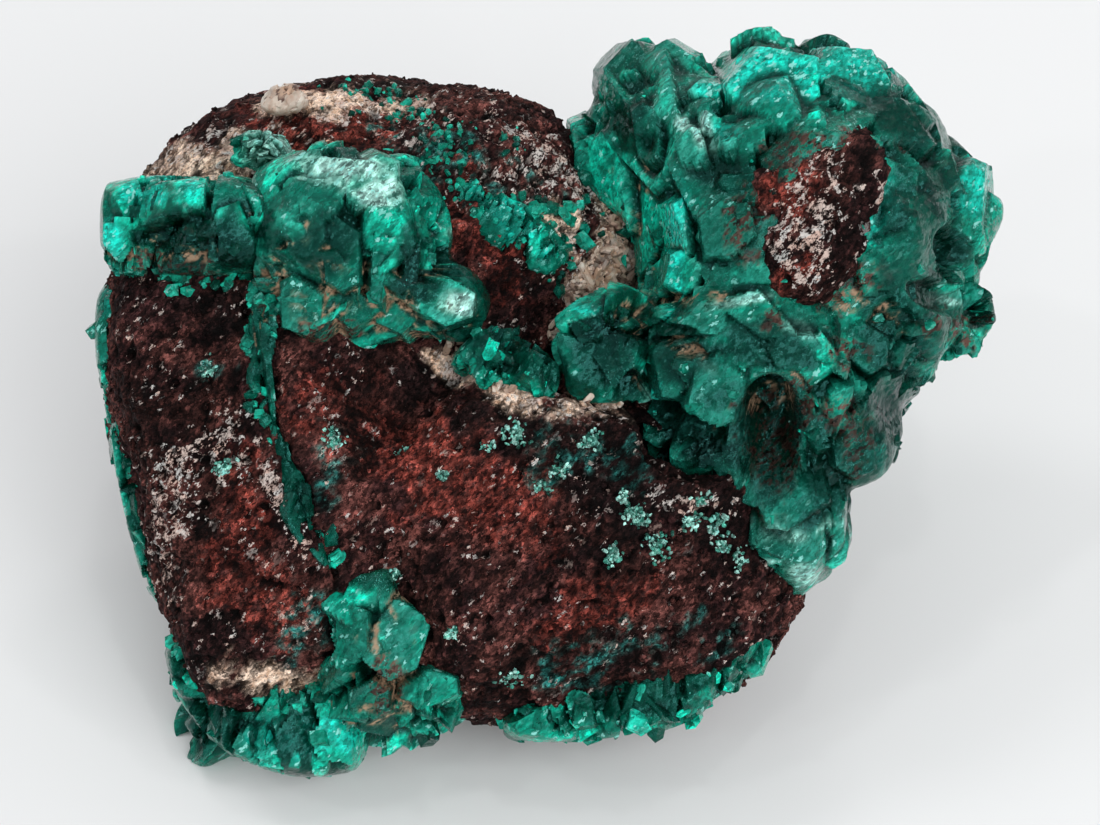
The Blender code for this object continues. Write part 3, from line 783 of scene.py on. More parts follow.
def patch_surface():
    """The brown patch: place = middle + way * (reach of its lump + relief)."""
    rows, columns = 150, 210
    middle = np.array(PATCH_LUMPS[0][0])
    origins, ways, reach = radial_grid(patch, middle, rows, columns)
    base = origins + ways * reach[:, None]
    relief = rough_rock(base, PATCH_SEED) * PATCH_RELIEF
    # How proud the relief stands, kept as the height mask for painted shade and light
    proud = smooth_step(raised(relief, rows, columns, 4), -0.35, 0.25)
    return finish_surface(origins, ways, reach + relief, rows, columns, rock_masks(base, proud))


def raised(reach, rows, columns, near=5):
    """How far each place of a grid stands above the mean of the places round it."""
    grid = reach.reshape(rows, columns)
    around = np.pad(grid, ((near, near), (0, 0)), mode="edge")
    around = sum(around[k:k + rows] for k in range(2 * near + 1)) / (2 * near + 1)
    around = sum(np.roll(around, k, axis=1) for k in range(-near, near + 1)) / (2 * near + 1)
    return (grid - around).ravel()


def sink_hollows(reach, places, normals, hollows):
    """Reaches less the depth of each hollow, where the surface faces the photograph's camera."""
    front = smooth_step(normals[:, 2], 0.0, 0.4)
    for *outline, depth in hollows:
        reach = np.maximum(reach - depth * front * region_mask(places, (outline,), 0.0), 0.1)
    return reach


def crystal_surface(grid, rows, columns, chunk_kinds, seed, columns_up, placed):
    """Crystal mass: place = origin + way * the furthest of the chunks set in the base surface and
    the sunken base itself. The large chunks are set first, the small ones in what they make, and
    the rise of both is held down by a hyperbolic tangent. The placed crystals come last."""
    origins, ways, reach = grid
    rng = np.random.default_rng(seed)
    base = origins + ways * reach[:, None]
    normals, area = grid_normals(base, ways, rows, columns)
    level = sink_hollows(reach, base, normals, HOLLOWS)
    sunken = reach - level
    reach = level
    base = origins + ways * reach[:, None]
    carved = np.maximum(reach - BASE_SINK, reach * BASE_SINK_SHARE)
    tone = np.full(len(reach), 0.5)
    uneven = min(CHUNK_UNEVENNESS, CHUNK_UNEVEN_SHARE * np.median(reach))
    seat = base
    for count, *sizes in chunk_kinds:
        chunks = broken_chunks(rng, seat, normals, area, count, sizes, columns_up, uneven)
        best = nearby_chunks(seat, rows, columns, chunks[0], chunks[3], min(12, count - 1))
        further, found = chunk_reach(origins, ways, best, chunks)
        tone = np.where(further > carved, found, tone)
        carved = np.maximum(carved, further)
        seat = origins + ways * np.clip(carved, reach - SEAT_SINK, reach + SEAT_RISE)[:, None]
        normals, area = grid_normals(seat, ways, rows, columns)
    above = carved - reach
    most = max(LEAST_RISE, RISE_SHARE * uneven)
    carved = reach + np.where(above > 0, most * np.tanh(above / most), above)
    if placed:
        chunks = placed_chunks(rng, base, grid_normals(base, ways, rows, columns)[0], placed)
        best = nearby_chunks(base, rows, columns, chunks[0], chunks[3], min(6, len(placed) - 1))
        further, found = chunk_reach(origins, ways, best, chunks)
        further = np.minimum(further, reach + PLACED_RISE)
        tone = np.where(further > carved, found, tone)
        carved = np.maximum(carved, further)
    carved += layered_noise(base, 0.9, seed, 3, 0.7) * CRYSTAL_GRAIN
    carved = np.maximum(carved, LEAST_REACH)
    low = above_floor(origins + ways * carved[:, None]) < FLOOR_CLEARANCE
    carved = np.where(low, np.minimum(carved, reach), carved)
    masks = crystal_masks(base, reach - carved, seed)
    # Deep regions: deep green crystal, and painted shade in hollows and under the overhang
    deep = region_mask(base, DEEP_AND_SHADED_REGIONS, layered_noise(base, 2.0, 221, 3, 0.7) * 0.4)
    proud = raised(carved, rows, columns)
    # Painted highlight: a pale rim where the crystal relief stands proud, kept as the edge mask
    masks["edge"] = smooth_step(proud, 0.05, 0.3)
    # Painted shade: the tone falls towards nothing in the crevices between chunks and in the sunken
    # hollows
    lit = smooth_step(proud, -0.3, 0.05) * (1 - smooth_step(sunken, 0.3, 2.0))
    masks["tone"] = tone * (1 - DEEP_AND_SHADE_DARKENING * deep) * lit
    web = region_mask(base, WEB_REGIONS, layered_noise(base, 1.0, 231, 3, 0.7))
    masks["web"] = web * smooth_step(-proud, 0.0, 0.12)
    return finish_surface(origins, ways, carved, rows, columns, masks)


def finish_surface(origins, ways, reach, rows, columns, masks):
    """The places of a grid surface with its two poles drawn together to one place each."""
    places = origins + ways * reach[:, None]
    places[:columns] = places[:columns].mean(axis=0)
    places[-columns:] = places[-columns:].mean(axis=0)
    normals, area = grid_normals(places, ways, rows, columns)
    masks["facing"] = smooth_step(normals[:, 2], -0.1, 0.3)
    return {
        "places": places, "normals": normals, "area": area,
        "masks": masks, "rows": rows, "columns": columns,
    }


ROCK_COLOURS = ("tan", "red", "dark", "teal", "pale")


def rock_masks(places, proud):
    """Where the rock is tan, red, dark or in painted shadow, pale or stained teal, and how proud it
    stands; the material paints shade where it lies low and light where it stands proud.
    """
    front = smooth_step(places[:, 2], -6.0, 0.0)
    rough = layered_noise(places, 2.4, 201, 4, 0.7) * 0.5
    return {
        "tan": region_mask(places, TAN_REGIONS, rough) * front,
        "red": region_mask(places, RED_REGIONS, -rough) * front,
        "dark": region_mask(places, DARK_AND_SHADOW_REGIONS, rough) * front,
        "teal": region_mask(places, TEAL_REGIONS, -rough * 1.8) * front,
        "pale": region_mask(places, PALE_REGIONS, rough * 1.5) * front,
        "height": proud,
    }


def crystal_masks(places, hollow, seed):
    """Where crystal is milky with painted white glints, frosty, bright, clear, or dusted brown with
    painted shade in its hollows.
    """
    front = smooth_step(places[:, 2], -7.0, -1.0)
    wild = layered_noise(places, 3.0, seed + 5, 3, 0.6)
    rough = layered_noise(places, 2.0, 211, 4, 0.7) * 0.4
    frosty = region_mask(places, FROSTY_REGIONS, rough) * front + (wild - 0.6) * 0.4
    dust = region_mask(places, DUST_AND_SHADE_REGIONS, -rough * 2.0) * front
    # Painted shade as well as dust: brown in the hollows below the base surface
    dust += smooth_step(hollow, 0.7, 1.2) * (0.1 + 0.4 * wild)
    return {
        "milky": region_mask(places, MILKY_AND_GLINT_REGIONS, rough * 0.8) * front,
        "frosty": np.clip(frosty, 0, 1),
        "bright": region_mask(places, BRIGHT_REGIONS, -rough) * front,
        "clear": region_mask(places, CLEAR_REGIONS, rough) * front,
        "dust": np.clip(dust, 0, 1),
    }


# Meshes


def mesh_from_loops(name, corners, loops, sizes):
    """A mesh from its corners, the corner list of all faces in a row, and each face's size."""
    mesh = bpy.data.meshes.new(name)
    mesh.vertices.add(len(corners))
    mesh.vertices.foreach_set("co", to_part(corners).astype(np.float32).ravel())
    mesh.loops.add(len(loops))
    mesh.loops.foreach_set("vertex_index", loops.astype(np.int32))
    mesh.polygons.add(len(sizes))
    starts = np.concatenate([[0], np.cumsum(sizes)[:-1]])
    mesh.polygons.foreach_set("loop_start", starts.astype(np.int32))
    mesh.update(calc_edges=True)
    return mesh


def add_attribute(mesh, name, values):
    """Stores one number for each corner of the mesh."""
    layer = mesh.attributes.new(name, "FLOAT", "POINT")
    layer.data.foreach_set("value", np.asarray(values).astype(np.float32))


def grid_mesh(name, grown):
    """A closed mesh from a grid surface: rows are rings, the first and last are single places."""
    rows, columns = grown["rows"], grown["columns"]

    def kept(values):
        """A grid's values with each end row brought down to one."""
        values = values.reshape(rows, columns, -1)
        ring = values[1:-1].reshape(-1, values.shape[2])
        return np.concatenate([ring, values[:1, 0], values[-1:, 0]])

    corners = kept(grown["places"])
    first = len(corners) - 2
    across = np.arange(columns)
    following = (across + 1) % columns
    start = (np.arange(rows - 3) * columns)[:, None]
    quads = np.stack(
        [start + across, start + columns + across, start + columns + following, start + following],
        axis=2,
    ).reshape(-1, 4)
    end = (rows - 3) * columns
    top = np.stack([np.full(columns, first), across, following], axis=1)
    bottom = np.stack([end + across, np.full(columns, first + 1), end + following], axis=1)
    a, b, c = (corners[quads[:, k]] for k in range(3))
    volume = (np.cross(b - a, c - a) * (a - corners.mean(axis=0))).sum()
    if volume < 0:
        quads, top, bottom = quads[:, ::-1], top[:, ::-1], bottom[:, ::-1]
    loops = np.concatenate([quads.ravel(), top.ravel(), bottom.ravel()])
    sizes = np.concatenate([np.full(len(quads), 4), np.full(2 * columns, 3)])
    mesh = mesh_from_loops(name, corners, loops, sizes)
    for label, values in grown["masks"].items():
        add_attribute(mesh, label, kept(values)[:, 0])
    return mesh


def add_piece(name, mesh, material, nodes=(), sharp=None):
    """Links a piece with its material, rides it on the stone and hides the CAD nodes that it stands in
    for.
    Sharp is the angle in degrees past which an edge shows: 0 leaves all faces flat, and none at
    all makes the whole piece smooth."""
    piece = bpy.data.objects.new(name, mesh)
    bpy.context.scene.collection.objects.link(piece)
    mesh.materials.append(material)
    mesh.polygons.foreach_set("use_smooth", np.full(len(mesh.polygons), sharp != 0.0))
    if sharp:
        mesh.set_sharp_from_angle(angle=math.radians(sharp))
    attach(piece, "root")
    if nodes:
        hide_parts(*nodes)


# A dioptase crystal of radius 1: how far the corners of an end lie below its tip, in turn, and how
# far the tip lies from the middle at the least
TIP_DROPS = (0.617, 1.234)
SHORTEST = 1.4


def crystal_forms(rng, places, axes, radii, lengths, broken):
    """Dioptase crystals: a six-sided prism with three rhombic faces at each end. In a crystal of
    radius 1 the corners of an end lie in turn at two depths below the tip, and the lower end is
    the upper one turned over. Some tips are broken off along a slanting plane."""
    count = len(places)
    turn = np.arange(6) * math.pi / 3
    ring = np.stack([np.cos(turn), np.sin(turn)], axis=1)
    drop = np.tile(TIP_DROPS, 3)
    tall = np.maximum(lengths / radii, SHORTEST)[:, None]
    level = np.zeros((count, 14))
    level[:, 0] = tall[:, 0]
    level[:, 1:7] = tall - drop
    level[:, 7:13] = -tall + np.roll(drop, 1)
    level[:, 13] = -tall[:, 0]
    flat = np.zeros((14, 2))
    flat[1:7] = ring
    flat[7:13] = ring
    slant = rng.normal(size=(count, 2)) * 0.35
    cut = tall * rng.uniform(0.3, 0.7, (count, 1)) + slant @ flat.T
    cut = np.where(rng.random((count, 1)) < broken, cut, 10.0)
    level = np.minimum(level, np.maximum(cut, level[:, 7:8] + 0.3))
    axes = axes / np.linalg.norm(axes, axis=1)[:, None]
    side = np.cross(axes, rng.normal(size=(count, 3)))
    side /= np.linalg.norm(side, axis=1)[:, None]
    other = np.cross(axes, side)
    uneven = rng.uniform(0.7, 1.3, (count, 2, 1, 1))
    local = (
        flat[None, :, :1] * side[:, None] * uneven[:, 0]
        + flat[None, :, 1:] * other[:, None] * uneven[:, 1]
        + level[:, :, None] * axes[:, None]
    )
    return (places[:, None] + local * radii[:, None, None]).reshape(-1, 3)


def crystal_faces(count):
    """The faces of crystal_forms: three rhombs at the top, six sides, three rhombs below."""
    faces = []
    for side in range(0, 6, 2):
        faces.append((0, 1 + side, 1 + (side + 1) % 6, 1 + (side + 2) % 6))
        faces.append((13, 7 + (side + 3) % 6, 7 + (side + 2) % 6, 7 + side + 1))
    for side in range(6):
        following = (side + 1) % 6
        faces.append((1 + side, 7 + side, 7 + following, 1 + following))
    faces = np.array(faces)
    return (faces[None] + 14 * np.arange(count)[:, None, None]).reshape(-1, 4)


def crystal_mesh(name, rng, places, axes, radii, lengths, masks, broken):
    """One mesh of many crystals. Each mask has one value for each crystal."""
    corners = crystal_forms(rng, places, axes, radii, lengths, broken)
    faces = crystal_faces(len(places))
    mesh = mesh_from_loops(name, corners, faces.ravel(), np.full(len(faces), 4))
    for label, values in masks.items():
        add_attribute(mesh, label, np.repeat(values, 14))
    return mesh


def scatter(rng, grown, count, weights):
    """Random corners of a surface, more often where it is large and where the weights are."""
    chance = grown["area"] * weights
    return rng.choice(len(chance), count, p=chance / chance.sum())


# Materials

# How much longer the grain is along the stone than across it, and the colours and light-bending of
# the rock, the crystal and the quartz that a user would not change
GRAIN_STRETCH = 1.6
MID_GREY = (0.5, 0.5, 0.5)
DARK_ROCK_AND_SHADOW = (0.006, 0.003, 0.003)
TEAL_STAIN = (0.012, 0.085, 0.075)
SAND = ((0.42, 0.26, 0.17), (0.90, 0.70, 0.56))
# Pale flecks: pinkish grains, and grey-white painted glints
PALE_FLECKS_AND_GLINTS = ((0.62, 0.43, 0.36), (0.60, 0.60, 0.58))
# Milky crystal, and painted white glints
MILK_AND_GLINT = (0.27, 0.50, 0.44)
# Painted highlight on proud crystal edges
PAINTED_EDGE_HIGHLIGHT = (0.05, 0.36, 0.30)
# Painted glints on the crystal
PAINTED_GLINT = (0.26, 0.66, 0.60)
SOIL = (0.085, 0.042, 0.033)
TAN_WEB = (0.34, 0.22, 0.14)
CRYSTAL_SHEEN = (0.12, 0.50, 0.46, 1.0)
DIOPTASE_IOR = 1.65
QUARTZ_IOR = 1.54
WARM_QUARTZ = (0.60, 0.38, 0.25)
WHITE_QUARTZ = (0.84, 0.77, 0.68)
QUARTZ_CRACK = (0.10, 0.045, 0.03)
QUARTZ_SKIN = (0.52, 0.35, 0.26)


def put(tree, kind, inputs=None, **settings):
    """A shader node with its settings. An input is a value or the output that feeds it."""
    made = tree.nodes.new("ShaderNode" + kind)
    for name, value in settings.items():
        setattr(made, name, value)
    for name, value in (inputs or {}).items():
        if isinstance(value, bpy.types.NodeSocket):
            tree.links.new(value, made.inputs[name])
        else:
            made.inputs[name].default_value = value
    return made


def along_grain(tree, stretch):
    """Object coordinates drawn out along the grain of the stone, which rises to the right."""
    place = put(tree, "TexCoord").outputs["Object"]
    half = math.sqrt(0.5)
    parts = []
    for axis, size in (((ACROSS + UP) * half, 1 / stretch), ((ACROSS - UP) * half, 1.0), (OUT, 1.0)):
        inputs = {0: place, 1: tuple(axis * size)}
        parts.append(put(tree, "VectorMath", inputs, operation="DOT_PRODUCT").outputs["Value"])
    return put(tree, "CombineXYZ", dict(enumerate(parts))).outputs[0]


def grained(tree, size, detail=3.0, roughness=0.6):
    """Noise whose grains have a size in millimetres."""
    inputs = {
        "Vector": along_grain(tree, GRAIN_STRETCH), "Scale": 1 / (size * MM),
        "Detail": detail, "Roughness": roughness,
    }
    return put(tree, "TexNoise", inputs).outputs[0]


def cells(tree, size, stretch=GRAIN_STRETCH, bend=0.0):
    """One random colour for each cell of a size in millimetres. Bend makes the cells uneven."""
    place = along_grain(tree, stretch)
    if bend:
        wander = put(tree, "TexNoise", {"Vector": place, "Scale": 1.5 / (size * MM), "Detail": 2.0})
        wander = joined(tree, "SUBTRACT", wander.outputs["Color"], MID_GREY)
        place = joined(tree, "ADD", place, scaled(tree, wander, bend * size * MM))
    return put(tree, "TexVoronoi", {"Vector": place, "Scale": 1 / (size * MM)}).outputs["Color"]


def chances(tree, size, stretch=GRAIN_STRETCH):
    """Three random numbers for each uneven cell of a size in millimetres."""
    return put(tree, "SeparateColor", {0: cells(tree, size, stretch, 2.0)}).outputs


def span(tree, value, low, high, new_low=0.0, new_high=1.0):
    """A value's range mapped to a new one, cut off at its ends."""
    inputs = {"Value": value, "From Min": low, "From Max": high, "To Min": new_low, "To Max": new_high}
    return put(tree, "MapRange", inputs).outputs[0]


def reckon(tree, operation, first, second=0.5, clamp=False):
    """One sum of two values."""
    return put(tree, "Math", {0: first, 1: second}, operation=operation, use_clamp=clamp).outputs[0]


def times(tree, first, second):
    """Two values multiplied."""
    return reckon(tree, "MULTIPLY", first, second)


def larger(tree, first, second):
    """The larger of two values."""
    return reckon(tree, "MAXIMUM", first, second)


def blend(tree, share, first, second):
    """Two colours mixed."""
    colours = [c if isinstance(c, bpy.types.NodeSocket) else (*c, 1.0) for c in (first, second)]
    inputs = {0: share, 6: colours[0], 7: colours[1]}
    return put(tree, "Mix", inputs, data_type="RGBA").outputs[2]


def scaled(tree, vector, amount):
    """A colour or direction times a value."""
    return put(tree, "VectorMath", {0: vector, "Scale": amount}, operation="SCALE").outputs[0]


def joined(tree, operation, first, second):
    """Two colours or directions joined by one sum."""
    return put(tree, "VectorMath", {0: first, 1: second}, operation=operation).outputs[0]


def finish_material(tree, shader, volume=None):
    """Leads the shader, and what fills the piece, to the material's output."""
    output = put(tree, "OutputMaterial")
    tree.links.new(shader.outputs[0], output.inputs["Surface"])
    if volume:
        tree.links.new(volume.outputs[0], output.inputs["Volume"])


def mask(tree, name):
    """A mask stored in the mesh."""
    return put(tree, "Attribute", attribute_name=name).outputs["Fac"]


def new_material(name):
    """An empty material and its node tree."""
    material = bpy.data.materials.new(name)
    material.use_nodes = True
    material.node_tree.nodes.clear()
    return material, material.node_tree


def rock_material(look):
    """Host rock: brown with red, tan, dark and teal regions, pale specks and fine grains. Its colour
    also carries painted shade where the relief lies low and painted light where it stands proud,
    painted shadow in some dark regions and painted glints among the pale specks.
    """
    material, tree = new_material("brown host rock")
    broad = grained(tree, 3.0, 4.0, 0.7)
    fine = grained(tree, 0.5, 3.0, 0.7)
    height = mask(tree, "height")
    colour = blend(tree, span(tree, broad, 0.45, 0.56), look.rock_dark[:3], look.rock_brown[:3])
    patches = span(tree, grained(tree, 5.0, 4.0, 0.75), 0.40, 0.60, 0.30, 1.35)
    rust = times(tree, mask(tree, "red"), span(tree, fine, 0.35, 0.6))
    colour = blend(tree, rust, colour, look.rock_red[:3])
    # Near black in the dark regions: dark rock, and painted shadow under the right mass
    colour = blend(tree, times(tree, mask(tree, "dark"), 0.7), colour, DARK_ROCK_AND_SHADOW)
    stain = times(tree, mask(tree, "teal"), span(tree, grained(tree, 0.9), 0.42, 0.6))
    colour = blend(tree, stain, colour, TEAL_STAIN)
    tan = times(tree, mask(tree, "tan"), span(tree, grained(tree, 1.2), 0.3, 0.5))
    colour = blend(tree, tan, colour, blend(tree, span(tree, fine, 0.35, 0.6), *SAND))
    grit = grained(tree, 0.22, 2.0, 0.8)
    small, large = chances(tree, 0.2), chances(tree, 0.5)
    # Painted shade and light: darker where the relief lies low, lighter where it stands proud
    shade = times(tree, span(tree, grit, 0.3, 0.7, 0.3, 1.7), span(tree, height, 0.1, 0.9, 0.12, 1.6))
    uneven = reckon(tree, "POWER", small[0], 2.0)
    shade = times(tree, shade, span(tree, uneven, 0.0, 1.0, 0.3, 2.6))
    shade = times(tree, shade, larger(tree, patches, mask(tree, "tan")))
    shade = blend(tree, mask(tree, "tan"), shade, reckon(tree, "MINIMUM", shade, 1.35))
    colour = scaled(tree, colour, shade)
    pale = mask(tree, "pale")
    # Pale flecks, part pale grains and part painted glints, fewer where the relief lies low as painted
    # shade
    drift = span(tree, grained(tree, 2.4, 3.0, 0.7), 0.35, 0.65, -0.06, 0.04)
    fleck = reckon(tree, "ADD", reckon(tree, "ADD", small[1], times(tree, pale, 0.16)), drift)
    rare = span(tree, reckon(tree, "ADD", large[1], times(tree, pale, 0.28)), 0.99, 1.01)
    fleck = larger(tree, span(tree, fleck, 0.955, 0.985), rare)
    fleck = times(tree, fleck, span(tree, grit, 0.4, 0.55, 0.0, 0.95))
    fleck = times(tree, fleck, span(tree, height, 0.1, 0.6, 0.2, 1.0))
    colour = blend(tree, fleck, colour, blend(tree, large[2], *PALE_FLECKS_AND_GLINTS))
    bump = put(tree, "Bump", {"Strength": 0.9, "Distance": 0.0003, "Height": grit})
    shader = put(tree, "BsdfPrincipled", {
        "Base Color": colour, "Roughness": span(tree, fine, 0.3, 0.7, 0.55, 0.95),
        "Specular IOR Level": 0.08, "Normal": bump.outputs[0],
    })
    finish_material(tree, shader)
    return material


def dioptase_material(look):
    """Dioptase: see-through green with frosty, bright and dusty parts. The green comes from the
    light that it takes away on its path through the crystal. Its colour also carries painted
    light and shade on each facet, painted shade in crevices and hollows, a painted highlight on
    proud edges and painted glints."""
    material, tree = new_material("green dioptase")
    broad = grained(tree, 2.2, 3.0, 0.6)
    fine = grained(tree, 0.45, 3.0, 0.7)
    frosty, bright, clear, dust = (mask(tree, name) for name in ("frosty", "bright", "clear", "dust"))
    tone = mask(tree, "tone")
    sugar = chances(tree, 0.2, 2.0)
    # Painted light and shade: the colour follows the tone, which changes from facet to facet and is dark
    # in crevices and hollows
    cloud_and_shade = times(tree, span(tree, broad, 0.3, 0.65, 0.7, 1.3), reckon(tree, "POWER", tone, 1.2))
    colour = blend(tree, cloud_and_shade, look.crystal_deep[:3], look.crystal_mid[:3])
    share = times(tree, frosty, span(tree, tone, 0.0, 0.8, 0.3, 1.0))
    colour = blend(tree, share, colour, look.crystal_frosty[:3])
    lit = times(tree, bright, span(tree, tone, 0.0, 0.7, 0.15, 1.0))
    colour = blend(tree, lit, colour, look.crystal_bright[:3])
    # Milky crystal and painted white glints
    milky = times(tree, mask(tree, "milky"), span(tree, tone, 0.0, 0.6, 0.3, 1.0))
    colour = blend(tree, milky, colour, MILK_AND_GLINT)
    # Painted highlight on the proud edges
    colour = blend(tree, times(tree, mask(tree, "edge"), 0.4), colour, PAINTED_EDGE_HIGHLIGHT)
    grains = span(tree, sugar[0], 0.0, 1.0, 0.25, 1.75)
    colour = scaled(tree, colour, times(tree, span(tree, fine, 0.3, 0.7, 0.25, 1.75), grains))
    # Painted glints: a few small cells in a pale colour, fewer where the tone is low
    glint = reckon(tree, "ADD", sugar[1], times(tree, larger(tree, lit, milky), 0.06))
    glint = times(tree, span(tree, glint, 0.955, 0.975, 0.0, 0.9), span(tree, tone, 0.05, 0.4))
    colour = blend(tree, glint, colour, PAINTED_GLINT)
    cover = times(tree, dust, span(tree, fine, 0.40, 0.52))
    # Brown soil, darker where the tone is low: dust with painted shade
    soil = scaled(tree, SOIL, span(tree, sugar[2], 0.0, 1.0, 0.1, 1.5))
    soil = scaled(tree, soil, span(tree, tone, 0.0, 0.5, 0.2, 1.0))
    colour = blend(tree, cover, colour, soil)
    web = times(tree, mask(tree, "web"), span(tree, fine, 0.38, 0.55))
    colour = blend(tree, web, colour, TAN_WEB)
    cover = larger(tree, cover, web)
    milk = larger(tree, times(tree, share, 0.6), times(tree, lit, 0.7))
    milk = larger(tree, milk, span(tree, cloud_and_shade, 0.1, 0.9, 0.3, 0.8))
    milk = larger(tree, milk, larger(tree, glint, milky))
    see = larger(tree, reckon(tree, "SUBTRACT", 0.95, milk), times(tree, clear, 0.9))
    see = reckon(tree, "MULTIPLY", see, reckon(tree, "SUBTRACT", 1.0, cover), clamp=True)
    # The see-through tint follows the tone as well: painted light and shade
    glass = blend(tree, tone, look.crystal_deep[:3], look.crystal_glass[:3])
    tint = blend(tree, see, colour, glass)
    tilted = put(tree, "NewGeometry").outputs["Normal"]
    for size, lean in ((0.9, 0.12), (0.25, 0.4)):
        facets = joined(tree, "SUBTRACT", cells(tree, size), MID_GREY)
        tilted = joined(tree, "ADD", tilted, scaled(tree, facets, lean))
    tilted = put(tree, "VectorMath", {0: tilted}, operation="NORMALIZE").outputs[0]
    bump = put(tree, "Bump", {"Strength": 0.35, "Distance": 0.0002, "Height": fine, "Normal": tilted})
    shader = put(tree, "BsdfPrincipled", {
        "Base Color": tint, "Roughness": span(tree, fine, 0.3, 0.7, 0.04, 0.22),
        "IOR": DIOPTASE_IOR, "Transmission Weight": see, "Normal": bump.outputs[0],
        "Specular Tint": CRYSTAL_SHEEN, "Specular IOR Level": 0.2,
    })
    depth = {"Color": (*look.crystal_depth[:3], 1.0), "Density": look.crystal_density}
    finish_material(tree, shader, put(tree, "VolumeAbsorption", depth))
    return material


def quartz_material(look):
    """Quartz: pale and milky with warm and grey parts."""
    material, tree = new_material("milky quartz")
    fine = grained(tree, 0.5, 3.0, 0.6)
    kind = chances(tree, 0.8)
    colour = blend(tree, kind[0], WARM_QUARTZ, WHITE_QUARTZ)
    colour = blend(tree, span(tree, kind[1], 0.6, 0.8), colour, QUARTZ_CRACK)
    colour = blend(tree, span(tree, fine, 0.45, 0.65), colour, QUARTZ_SKIN)
    bump = put(tree, "Bump", {"Strength": 0.4, "Distance": 0.0002, "Height": fine})
    shader = put(tree, "BsdfPrincipled", {
        "Base Color": colour, "Roughness": span(tree, fine, 0.3, 0.7, 0.25, 0.6),
        "Transmission Weight": 0.25, "IOR": QUARTZ_IOR, "Normal": bump.outputs[0],
    })
    finish_material(tree, shader)
    return material


def shared_material(name, make):
    """A material by name, made the first time it is asked for."""
    found = bpy.data.materials.get(name)
    return found or make(bpy.context.scene.dioptase)


def rock_look():
    """The host rock's material."""
    return shared_material("brown host rock", rock_material)


def dioptase_look():
    """The crystals' material."""
    return shared_material("green dioptase", dioptase_material)


def quartz_look():
    """The quartz's material."""
    return shared_material("milky quartz", quartz_material)


def colour_property(name, description, colour):
    """A colour that a user can change."""
    return bpy.props.FloatVectorProperty(
        name=name, description=description, subtype="COLOR", size=4, min=0.0, max=1.0,
        default=(*colour, 1.0))


class DioptaseLook(bpy.types.PropertyGroup):
    """Sizes and colours of the specimen and its studio."""

    crystal_deep: colour_property(
        "Deep crystal", "Colour of the darkest crystal", (0.0008, 0.028, 0.017))
    crystal_glass: colour_property(
        "Clear crystal", "Colour of the see-through surface", (0.02, 0.62, 0.40))
    crystal_mid: colour_property("Crystal", "Colour of most crystal", (0.004, 0.62, 0.42))
    crystal_frosty: colour_property(
        "Frosty crystal", "Colour of crystal with a frosted surface", (0.045, 0.24, 0.20))
    crystal_bright: colour_property(
        "Bright crystal", "Colour of the brightest crystal", (0.01, 0.58, 0.47))
    crystal_depth: colour_property(
        "Light left", "Colour that passes through clear crystal", (0.02, 0.82, 0.66))
    crystal_density: bpy.props.FloatProperty(
        name="Density", description="How strongly crystal takes light away, for each metre",
        default=1200.0, min=0.0, max=20000.0)
    rock_brown: colour_property("Rock", "Main colour of the host rock", (0.055, 0.019, 0.016))
    rock_dark: colour_property(
        "Dark rock", "Colour of the dark parts of the host rock", (0.014, 0.005, 0.005))
    rock_red: colour_property(
        "Red rock", "Colour of the rusty parts of the host rock", (0.130, 0.026, 0.019))
    loose_grains: bpy.props.IntProperty(
        name="Grains", description="Number of loose grains on the rock", default=5000, min=10, max=9000)
    light_strength: bpy.props.FloatProperty(
        name="Light", description="Strength of the studio light", default=1.0, min=0.0, max=10.0)
    floor_shade: bpy.props.FloatProperty(
        name="Floor", description="Brightness of the floor", default=0.80, min=0.0, max=1.0)


class DIOPTASE_OT_rock(bpy.types.Operator):
    """Adds the three fragments of the host rock and the brown patch"""

    bl_idname = "dioptase.rock"
    bl_label = "Host rock"

    def execute(self, context):
        for name in (*ROCKS, "rock_patch"):
            mesh = grid_mesh(name, surface(name))
            add_piece(name + "_look", mesh, rock_look(), (name,))
        return {"FINISHED"}


class DIOPTASE_OT_masses(bpy.types.Operator):
    """Adds the crystal masses"""

    bl_idname = "dioptase.masses"
    bl_label = "Crystal masses"

    def execute(self, context):
        nodes = {
            "right_crystals": ("right_crystals",), "rim_cluster": ("rim_crystals",),
            "foot_crystals": ("foot_crystals",), "leg_crystal": ("leg_crystal",),
            "valley_block": ("valley_block",), "right_knob": (), "right_spur": (),
            "dome_chip": ("dome_chip",),
        }
        for name, node in nodes.items():
            mesh = grid_mesh(name, surface(name))
            add_piece(name + "_look", mesh, dioptase_look(), node, sharp=20.0)
        mesh = grid_mesh("dome_quartz", surface("dome_quartz"))
        add_piece("dome_quartz_look", mesh, quartz_look(), ("dome_quartz",), sharp=28.0)
        return {"FINISHED"}


class DIOPTASE_OT_seams(bpy.types.Operator):
    """Adds the seams of crystals that run along the rock"""

    bl_idname = "dioptase.seams"
    bl_label = "Crystal seams"

    def execute(self, context):
        for name in TUBES:
            node = () if name == "rim_band" else (name,)
            mesh = grid_mesh(name, surface(name))
            add_piece(name + "_look", mesh, dioptase_look(), node, sharp=20.0)
        return {"FINISHED"}


